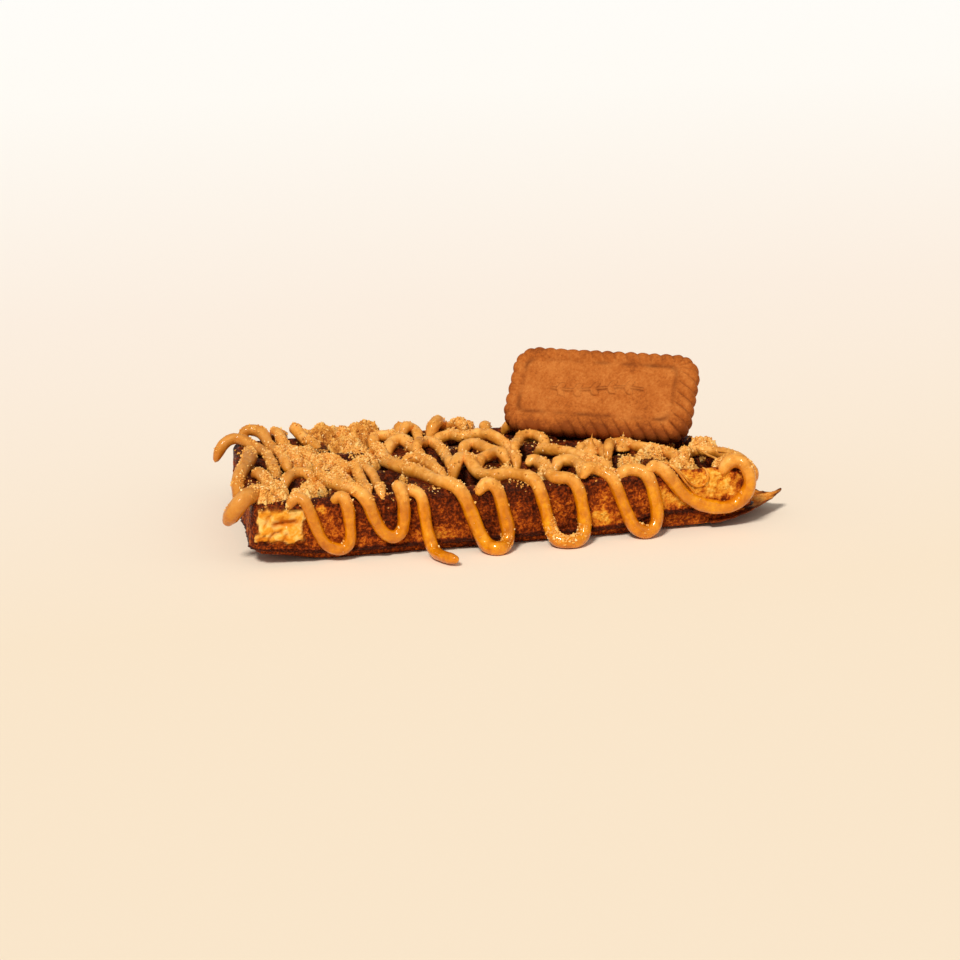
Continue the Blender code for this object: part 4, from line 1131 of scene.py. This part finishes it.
def crumbMaterial():
    shade = Shade("crumb", Roughness=0.7, Specular_IOR_Level=0.35, Specular_Tint=(1.0, 0.88, 0.7, 1.0))
    fine = shade.noise(0.35, 2.0, 0.6)
    shade.feed("Base Color", shade.ramp(shade.painted("tone") + (fine - 0.5) * 0.5, [
        (0.0, srgb(204, 130, 48)), (0.25, srgb(226, 154, 64)), (0.55, srgb(240, 174, 80)),
        (0.85, srgb(250, 196, 108)), (1.0, srgb(255, 218, 150)),
    ]))
    shade.feed("Normal", shade.bump(fine, 0.4, 0.15))
    return shade.material


def heapMaterial():
    shade = Shade("crumbHeap", Roughness=0.8, Specular_IOR_Level=0.3, Specular_Tint=(1.0, 0.88, 0.7, 1.0))
    coarse = shade.noise(1.1, 3.0, 0.6)
    fine = shade.noise(0.5, 3.0, 0.65)
    # the heaps' painted light and shade lightens or darkens the crumb colour
    shade.feed("Base Color", shade.ramp(coarse * 0.45 + fine * 0.35 + shade.painted("pale") * 0.2, [
        (0.30, srgb(164, 92, 26)), (0.42, srgb(220, 144, 54)), (0.54, srgb(244, 176, 82)),
        (0.66, srgb(254, 208, 126)),
    ]))
    rough = shade.bump(coarse, 0.8, 0.8)
    shade.feed("Normal", shade.bump(fine, 0.7, 0.4, rough))
    return shade.material


# Feet of the hanging loops that have crumbs stuck to them: place, reach, share
dustedFeet = [
    ((14, -41, 3), 8.0, 1.4), ((-75, -40, 8), 7.0, 0.6), ((-16, -46, 2.5), 6.0, 0.35),
    ((-3, -43, 2), 5.0, 0.4), ((38, -42, 2), 4.0, 0.25),
]


def heapDust(spot, facing):
    up = smoothStep(16.5, 18.5, spot.z) * smoothStep(0.0, 0.5, facing.z)
    return up * (1.0 - 0.5 * smoothStep(16, 27, spot.y))


def strandDust(spot, facing):
    up = smoothStep(-0.1, 0.6, facing.z)
    if spot.z < 15.0:
        most = 0.02 * up
        for foot, reach, share in dustedFeet:
            near = smoothStep(reach, 0.4 * reach, (spot - Vector(foot)).length)
            most = max(most, share * near * smoothStep(-0.5, 0.5, facing.z))
        return most
    patch = smoothStep(0.0, 0.35, wave(spot.x, spot.y, 0, 5.5, 71) + 0.5 * wave(spot.x, spot.y, 0, 2.0, 77))
    left = smoothStep(-5.0, -45.0, spot.x)
    share = 0.04 + 0.75 * heapShare(spot.x, spot.y) + (0.22 + 0.3 * left) * patch
    return share * up * smoothStep(15.5, 18.5, spot.z)


def crustDust(spot, facing):
    if spot.z < 7.0 or facing.z < 0.2:
        return 0.0
    patch = smoothStep(0.15, 0.4, wave(spot.x, spot.y, 0, 5, 73))
    share = 0.12 + 2.4 * heapShare(spot.x, spot.y) + 1.2 * patch
    return share * smoothStep(0.2, 0.7, facing.z)


crumbHeaps = buildHeaps()
crumbHeaps.data.materials.append(heapMaterial())
grain = grainMesh()
looseTree = crumbTree()
grainPaint = crumbMaterial()
loose = []
for name, host, rule, density, seed in (
        ("heapCrumbs", crumbHeaps, heapDust, "heapDensity", 1),
        ("strandCrumbs", spreadStrands, strandDust, "strandDensity", 2),
        ("crustCrumbs", waffleBody, crustDust, "crustDensity", 3)):
    paintByRule(host, "dust", rule)
    loose.append(scatter(name, host, looseTree, {
        "Density": crumbs[density] / mm ** 2, "Smallest": crumbs["smallest"], "Largest": crumbs["largest"],
        "Seed": seed, "Grain": grain, "Material": grainPaint}))
    print(name, len(loose[-1].data.polygons), "faces")
bpy.data.objects.remove(grain, do_unlink=True)


# Biscuit

biscuit = {
    "length": 62.4, "width": 31.0, "thick": 6.4, "corner": 7.4, "ridges": 44, "slant": 0.95,
    "scallopOut": 0.4, "border": 5.4, "panelInset": 7.2, "sunk": 0.75, "underInset": 6.2,
    # the panel's corners, and how far it sits to the left and up
    "frameRound": 2.8, "frameLeft": 0.9, "frameUp": 0.8,
    "lean": math.radians(50.0), "turn": math.radians(-32.1), "foot": (37.75, 8.0, 17.2),
    "around": 880, "panelCells": (168, 60), "underCells": (60, 24),
}


def ropeShare(x, y):
    # the rope pattern is crisp at the lower right and worn away at the top and the left
    return 0.28 + 0.72 * smoothStep(-16.0, 4.0, x) * smoothStep(14.0, -3.0, y)


def biscuitRing(inset, waves, height):
    # one ring round the biscuit, inset from its edge: x, y, height of the rope there, its crispness
    halfX = biscuit["length"] / 2 - biscuit["scallopOut"]
    halfY = biscuit["width"] / 2 - biscuit["scallopOut"]
    corner, count = biscuit["corner"], biscuit["around"]
    radius = max(biscuit["frameRound"], corner - inset)
    hx, hy = halfX - inset - radius, halfY - inset - radius
    shift = smoothStep(1.0, biscuit["border"], inset) if height > 3.0 else 0.0
    quarter = math.pi / 2 * corner
    fullRuns = [2 * (halfY - corner), 2 * (halfX - corner)] * 2
    runs = [2 * hy, 2 * hx] * 2
    total = sum(fullRuns) + 4 * quarter
    corners = [(hx, -hy), (hx, hy), (-hx, hy), (-hx, -hy)]
    ring = []
    for k in range(count):
        s = total * k / count
        turn = 0
        while s >= fullRuns[turn] + quarter:
            s -= fullRuns[turn] + quarter
            turn += 1
        ahead = math.pi / 2 * (turn + 1)
        run = min(1.0, s / fullRuns[turn]) * runs[turn]
        x = corners[turn][0] + math.cos(ahead) * run
        y = corners[turn][1] + math.sin(ahead) * run
        out = ahead - math.pi / 2 + max(0.0, s - fullRuns[turn]) / corner
        phase = math.tau * biscuit["ridges"] * k / count - biscuit["slant"] * inset * math.cos(2.0 * out)
        phase += 0.5 * wave(x, y, 0, 9, 81)
        rope = abs(math.cos(phase / 2.0)) ** 0.75 * 2.0 - 1.0
        clear = ropeShare(x, y)
        scallop = waves * biscuit["scallopOut"] * rope * (0.4 + 0.7 * clear + 0.4 * wave(x, y, 0, 7, 83))
        reach = radius + scallop
        ring.append((x + math.cos(out) * reach - biscuit["frameLeft"] * shift,
                     y + math.sin(out) * reach + biscuit["frameUp"] * shift, rope, clear))
    return ring


# A plain sprig pressed into the panel: a curved stem with paired leaves
sprig = {
    "half": 15.5, "bend": 1.1, "line": 0.5, "raised": 0.4,
    "leaves": 5, "leafLong": 3.9, "leafWide": 1.0, "leafSlope": (0.77, 0.64),
}


def sprigRise(x, y):
    # how much of its full height the sprig has at a place on the panel
    y = y - sprig["bend"] * math.sin(x / sprig["half"] * math.pi * 0.8)
    most = math.exp(-(y / sprig["line"]) ** 2) if abs(x) < sprig["half"] else 0.0
    ahead, up = sprig["leafSlope"]
    for k in range(sprig["leaves"]):
        foot = sprig["half"] * (0.36 * k - 0.85)
        for side in (1, -1):
            dx, dy = x - foot, side * y
            across = -dx * up + dy * ahead
            t = (dx * ahead + dy * up) / sprig["leafLong"]
            if 0.0 < t < 1.0:
                wide = sprig["leafWide"] * math.sin(math.pi * t)
                most = max(most, smoothStep(1.35, 0.75, abs(across) / max(0.15, wide)))
    return most


def panelSpot(x, y, height):
    # a place on the panel with its grain and the sprig, and the painted shade round the sprig's edge there
    raised = sprigRise(x, y)
    rise = 0.28 * wave(x, y, 0, 5, 3) + 0.1 * wave(x, y, 0, 1.3, 2) + sprig["raised"] * raised
    rise -= 0.5 * max(0.0, wave(x, y, 0, 1.1, 87) - 0.38)
    dark = 3.2 * raised * (1.0 - raised) * (0.75 + 0.8 * wave(x, y, 0, 6, 93))
    return (x - biscuit["frameLeft"], y + biscuit["frameUp"], height + rise), max(0.0, min(1.0, dark))


def buildBiscuit():
    thick, border, panelInset = biscuit["thick"], biscuit["border"], biscuit["panelInset"]
    panel = thick - biscuit["sunk"]
    profile = [
        # inset, height, scallop share, ridge height
        (biscuit["underInset"], 0.0, 0.0, 0.0), (2.6, 0.0, 0.05, 0.0), (1.5, 0.05, 0.15, 0.0),
        (0.9, 0.25, 0.3, 0.0), (0.5, 0.65, 0.5, 0.0), (0.2, 1.2, 0.75, 0.0), (0.05, 1.9, 0.95, 0.0),
        (0.0, 2.8, 1.0, 0.0), (0.05, 3.7, 1.0, 0.0), (0.2, 4.4, 1.0, 0.05), (0.45, thick - 1.35, 1.0, 0.12),
        (0.8, thick - 0.9, 0.9, 0.22), (1.2, thick - 0.58, 0.75, 0.32), (1.65, thick - 0.36, 0.6, 0.40),
        (2.15, thick - 0.24, 0.45, 0.44), (2.65, thick - 0.2, 0.35, 0.44), (3.15, thick - 0.22, 0.25, 0.42),
        (3.65, thick - 0.27, 0.2, 0.36), (4.1, thick - 0.34, 0.15, 0.28), (4.5, thick - 0.45, 0.1, 0.18),
        (4.85, thick - 0.62, 0.05, 0.08), (border, panel - 0.1, 0.0, 0.0),
        (border + 0.4, panel - 0.16, 0.0, 0.0), (border + 0.8, panel - 0.06, 0.0, 0.0),
        (border + 1.3, panel + 0.04, 0.0, 0.0), (panelInset, panel, 0.0, 0.0),
    ]
    verts, faces, edgeBrowningAndShade, groove, rings = [], [], [], [], []
    for inset, height, share, ridge in profile:
        ring = biscuitRing(inset, share, height)
        rings.append(list(range(len(verts), len(verts) + len(ring))))
        for x, y, rope, clear in ring:
            z = height + ridge * (rope - 0.2) * 1.25 * clear
            rough = 0.12 * wave(x, y, z, 1.2, 2) + 0.2 * wave(x, y, z, 5, 3)
            verts.append((x, y, z + (rough if z > 0.5 else 0.0)))
            # painted shade: the lower border is darker as if turned away from the light; the rest of the
            # border is browned
            lowerEdgeShade = 1.0 + 2.4 * smoothStep(-7.0, -14.0, y)
            edgeBrowningAndShade.append(smoothStep(panelInset, 0.5, inset) * lowerEdgeShade)
            # painted shade in the frame line and between the rope's ridges
            inFrame = math.exp(-((inset - border - 0.3) / 0.6) ** 2) if height > 3.0 else 0.0
            inFrame *= 0.45 + 0.9 * wave(x, y, 0, 4.5, 91)
            between = clear * smoothStep(-0.1, -0.85, rope) * min(1.0, ridge * 3.0)
            groove.append(min(1.0, max(0.0, inFrame) + between))
    for lower, upper in zip(rings, rings[1:]):
        faces += ringFaces(lower, upper)
    for side, ring, height in (("under", rings[0], 0.0), ("panel", rings[-1], panel)):
        cellsX, cellsY = biscuit[side + "Cells"]
        inset = biscuit["scallopOut"] + biscuit[side + "Inset"] + 1.1
        hx, hy = biscuit["length"] / 2 - inset, biscuit["width"] / 2 - inset
        grid = []
        for j in range(cellsY + 1):
            grid.append(list(range(len(verts), len(verts) + cellsX + 1)))
            for i in range(cellsX + 1):
                x, y = hx * (2 * i / cellsX - 1), hy * (2 * j / cellsY - 1)
                spot, dark = panelSpot(x, y, height) if side == "panel" else ((x, y, height), 0.0)
                verts.append(spot)
                edgeBrowningAndShade.append(0.0)
                groove.append(dark)
        faces += sheetFaces(grid)
        faces += zipLoops(ring, sheetBorder(grid), verts, biscuit["length"], biscuit["width"])
    # it is drawn flat, and then stands on its long edge, leans back and turns
    place = Matrix.Translation(Vector(biscuit["foot"])) @ Matrix.Rotation(biscuit["turn"], 4, "Z")
    place = place @ Matrix.Rotation(biscuit["lean"], 4, "X")
    place = place @ Matrix.Translation((0.0, biscuit["width"] / 2, 0.0))
    made = addMesh("speculoosBiscuit", [place @ Vector(v) for v in verts], faces)
    paintPoints(made, "edge", edgeBrowningAndShade)
    paintPoints(made, "groove", groove)
    return made


def biscuitMaterial():
    shade = Shade("caramelBiscuit", Roughness=0.8, Specular_IOR_Level=0.2,
                  Specular_Tint=(1.0, 0.8, 0.55, 1.0))
    broad = shade.noise(7.0, 4.0, 0.55)
    fine = shade.noise(0.9, 5.0, 0.65)
    # the edge paint browns the border and adds painted shade along its lower edge
    tone = shade.ramp(broad * 0.5 + fine * 0.5 - shade.painted("edge") * 0.07, [
        (0.30, srgb(138, 66, 20)), (0.46, srgb(180, 96, 34)), (0.64, srgb(204, 122, 54)),
    ])
    # painted shade in the grooves and round the sprig
    tone = shade.blend(shade.painted("groove") * 0.74, tone, srgb(96, 38, 8))
    pits = shade.cells(1.5).between(0.16, 0.05)
    shade.feed("Base Color", shade.blend(pits * 0.5, tone, srgb(110, 50, 14)))
    shade.feed("Normal", shade.bump(1.0 - pits, 0.3, 0.25, shade.bump(fine, 0.6, 0.5)))
    return shade.material


speculoos = buildBiscuit()
speculoos.data.materials.append(biscuitMaterial())
print("biscuit", len(speculoos.data.polygons), "faces")


# What rides and stands for what

for piece in [waffleBody, burntFlap, spreadStrands, crumbHeaps] + loose:
    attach(piece, "root")
    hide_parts("waffle")
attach(speculoos, "root")
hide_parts("biscuit")


# Floor, light and camera

studio = {
    # the camera in turns, metres and mm of lens; its picture is moved by 5 and 10 of the 960 pixels
    "elevation": math.radians(15.5), "turn": math.radians(12.5), "roll": math.radians(1.0),
    "distance": 0.6, "aim": (0.0, 0.0, 0.013), "lens": 71.96, "shiftX": -5 / 960, "shiftY": -10 / 960,
    "floorHalf": 20.0, "near": srgb(248, 230, 205), "middle": srgb(250, 238, 226),
    "far": srgb(253, 251, 247), "end": srgb(253, 253, 252),
    "warm": (1.0, 0.985, 0.955), "room": 0.31,
    # where each sun shines to, its strength, and how soft it is in degrees
    "suns": {"keyLight": ((0.42, 0.62, -0.85), 2.75, 13.0), "fillLight": ((-0.5, 0.7, -0.55), 0.3, 60.0)},
}


def floorMaterial():
    # warmer in front and nearly white far behind
    shade = Shade("paleFloor", Roughness=0.9, Specular_IOR_Level=0.0)
    away = shade.make("ShaderNodeSeparateXYZ", None, {0: shade.place()}, out=1) + 0.3
    shade.feed("Base Color", shade.ramp(away / (away + 0.5), [
        (0.0, studio["near"]), (0.3, studio["near"]), (0.57, studio["middle"]), (0.8, studio["far"]),
        (0.95, studio["end"]),
    ]))
    return shade.material


floorMesh = bpy.data.meshes.new("paleFloor")
half = studio["floorHalf"]
corners = [(-half, -half, 0), (half, -half, 0), (half, half, 0), (-half, half, 0)]
floorMesh.from_pydata(corners, [], [(0, 1, 2, 3)])
floorMesh.materials.append(floorMaterial())
paleFloor = addObject("paleFloor", floorMesh)

world = bpy.data.worlds.new("softRoom")
bpy.context.scene.world = world
world.use_nodes = True
background = world.node_tree.nodes["Background"]
background.inputs["Color"].default_value = (1.0, 0.985, 0.96, 1.0)
background.inputs["Strength"].default_value = studio["room"]


for name, (ahead, strength, soft) in studio["suns"].items():
    sun = bpy.data.lights.new(name, "SUN")
    sun.energy = strength
    sun.angle = math.radians(soft)
    sun.color = studio["warm"]
    addObject(name, sun).rotation_euler = Vector(ahead).to_track_quat("-Z", "Y").to_euler()


def placeCamera():
    elevation, turn, roll = studio["elevation"], studio["turn"], studio["roll"]
    level = math.cos(elevation)
    ahead = Vector((math.sin(turn) * level, math.cos(turn) * level, -math.sin(elevation)))
    right = Vector((math.cos(turn), -math.sin(turn), 0.0))
    up = right.cross(ahead)
    eye = Vector(studio["aim"]) - ahead * studio["distance"]
    sideways = right * math.cos(roll) - up * math.sin(roll)
    upward = up * math.cos(roll) + right * math.sin(roll)
    data = bpy.data.cameras.new("photoCamera")
    data.sensor_width = 36.0
    data.lens = studio["lens"]
    data.shift_x, data.shift_y = studio["shiftX"], studio["shiftY"]
    data.clip_start = 0.02
    camera = addObject("photoCamera", data)
    camera.matrix_world = Matrix((
        (sideways.x, upward.x, -ahead.x, eye.x), (sideways.y, upward.y, -ahead.y, eye.y),
        (sideways.z, upward.z, -ahead.z, eye.z), (0, 0, 0, 1)))
    bpy.context.scene.camera = camera


placeCamera()
bpy.context.scene.view_settings.view_transform = "Standard"
print("studio")
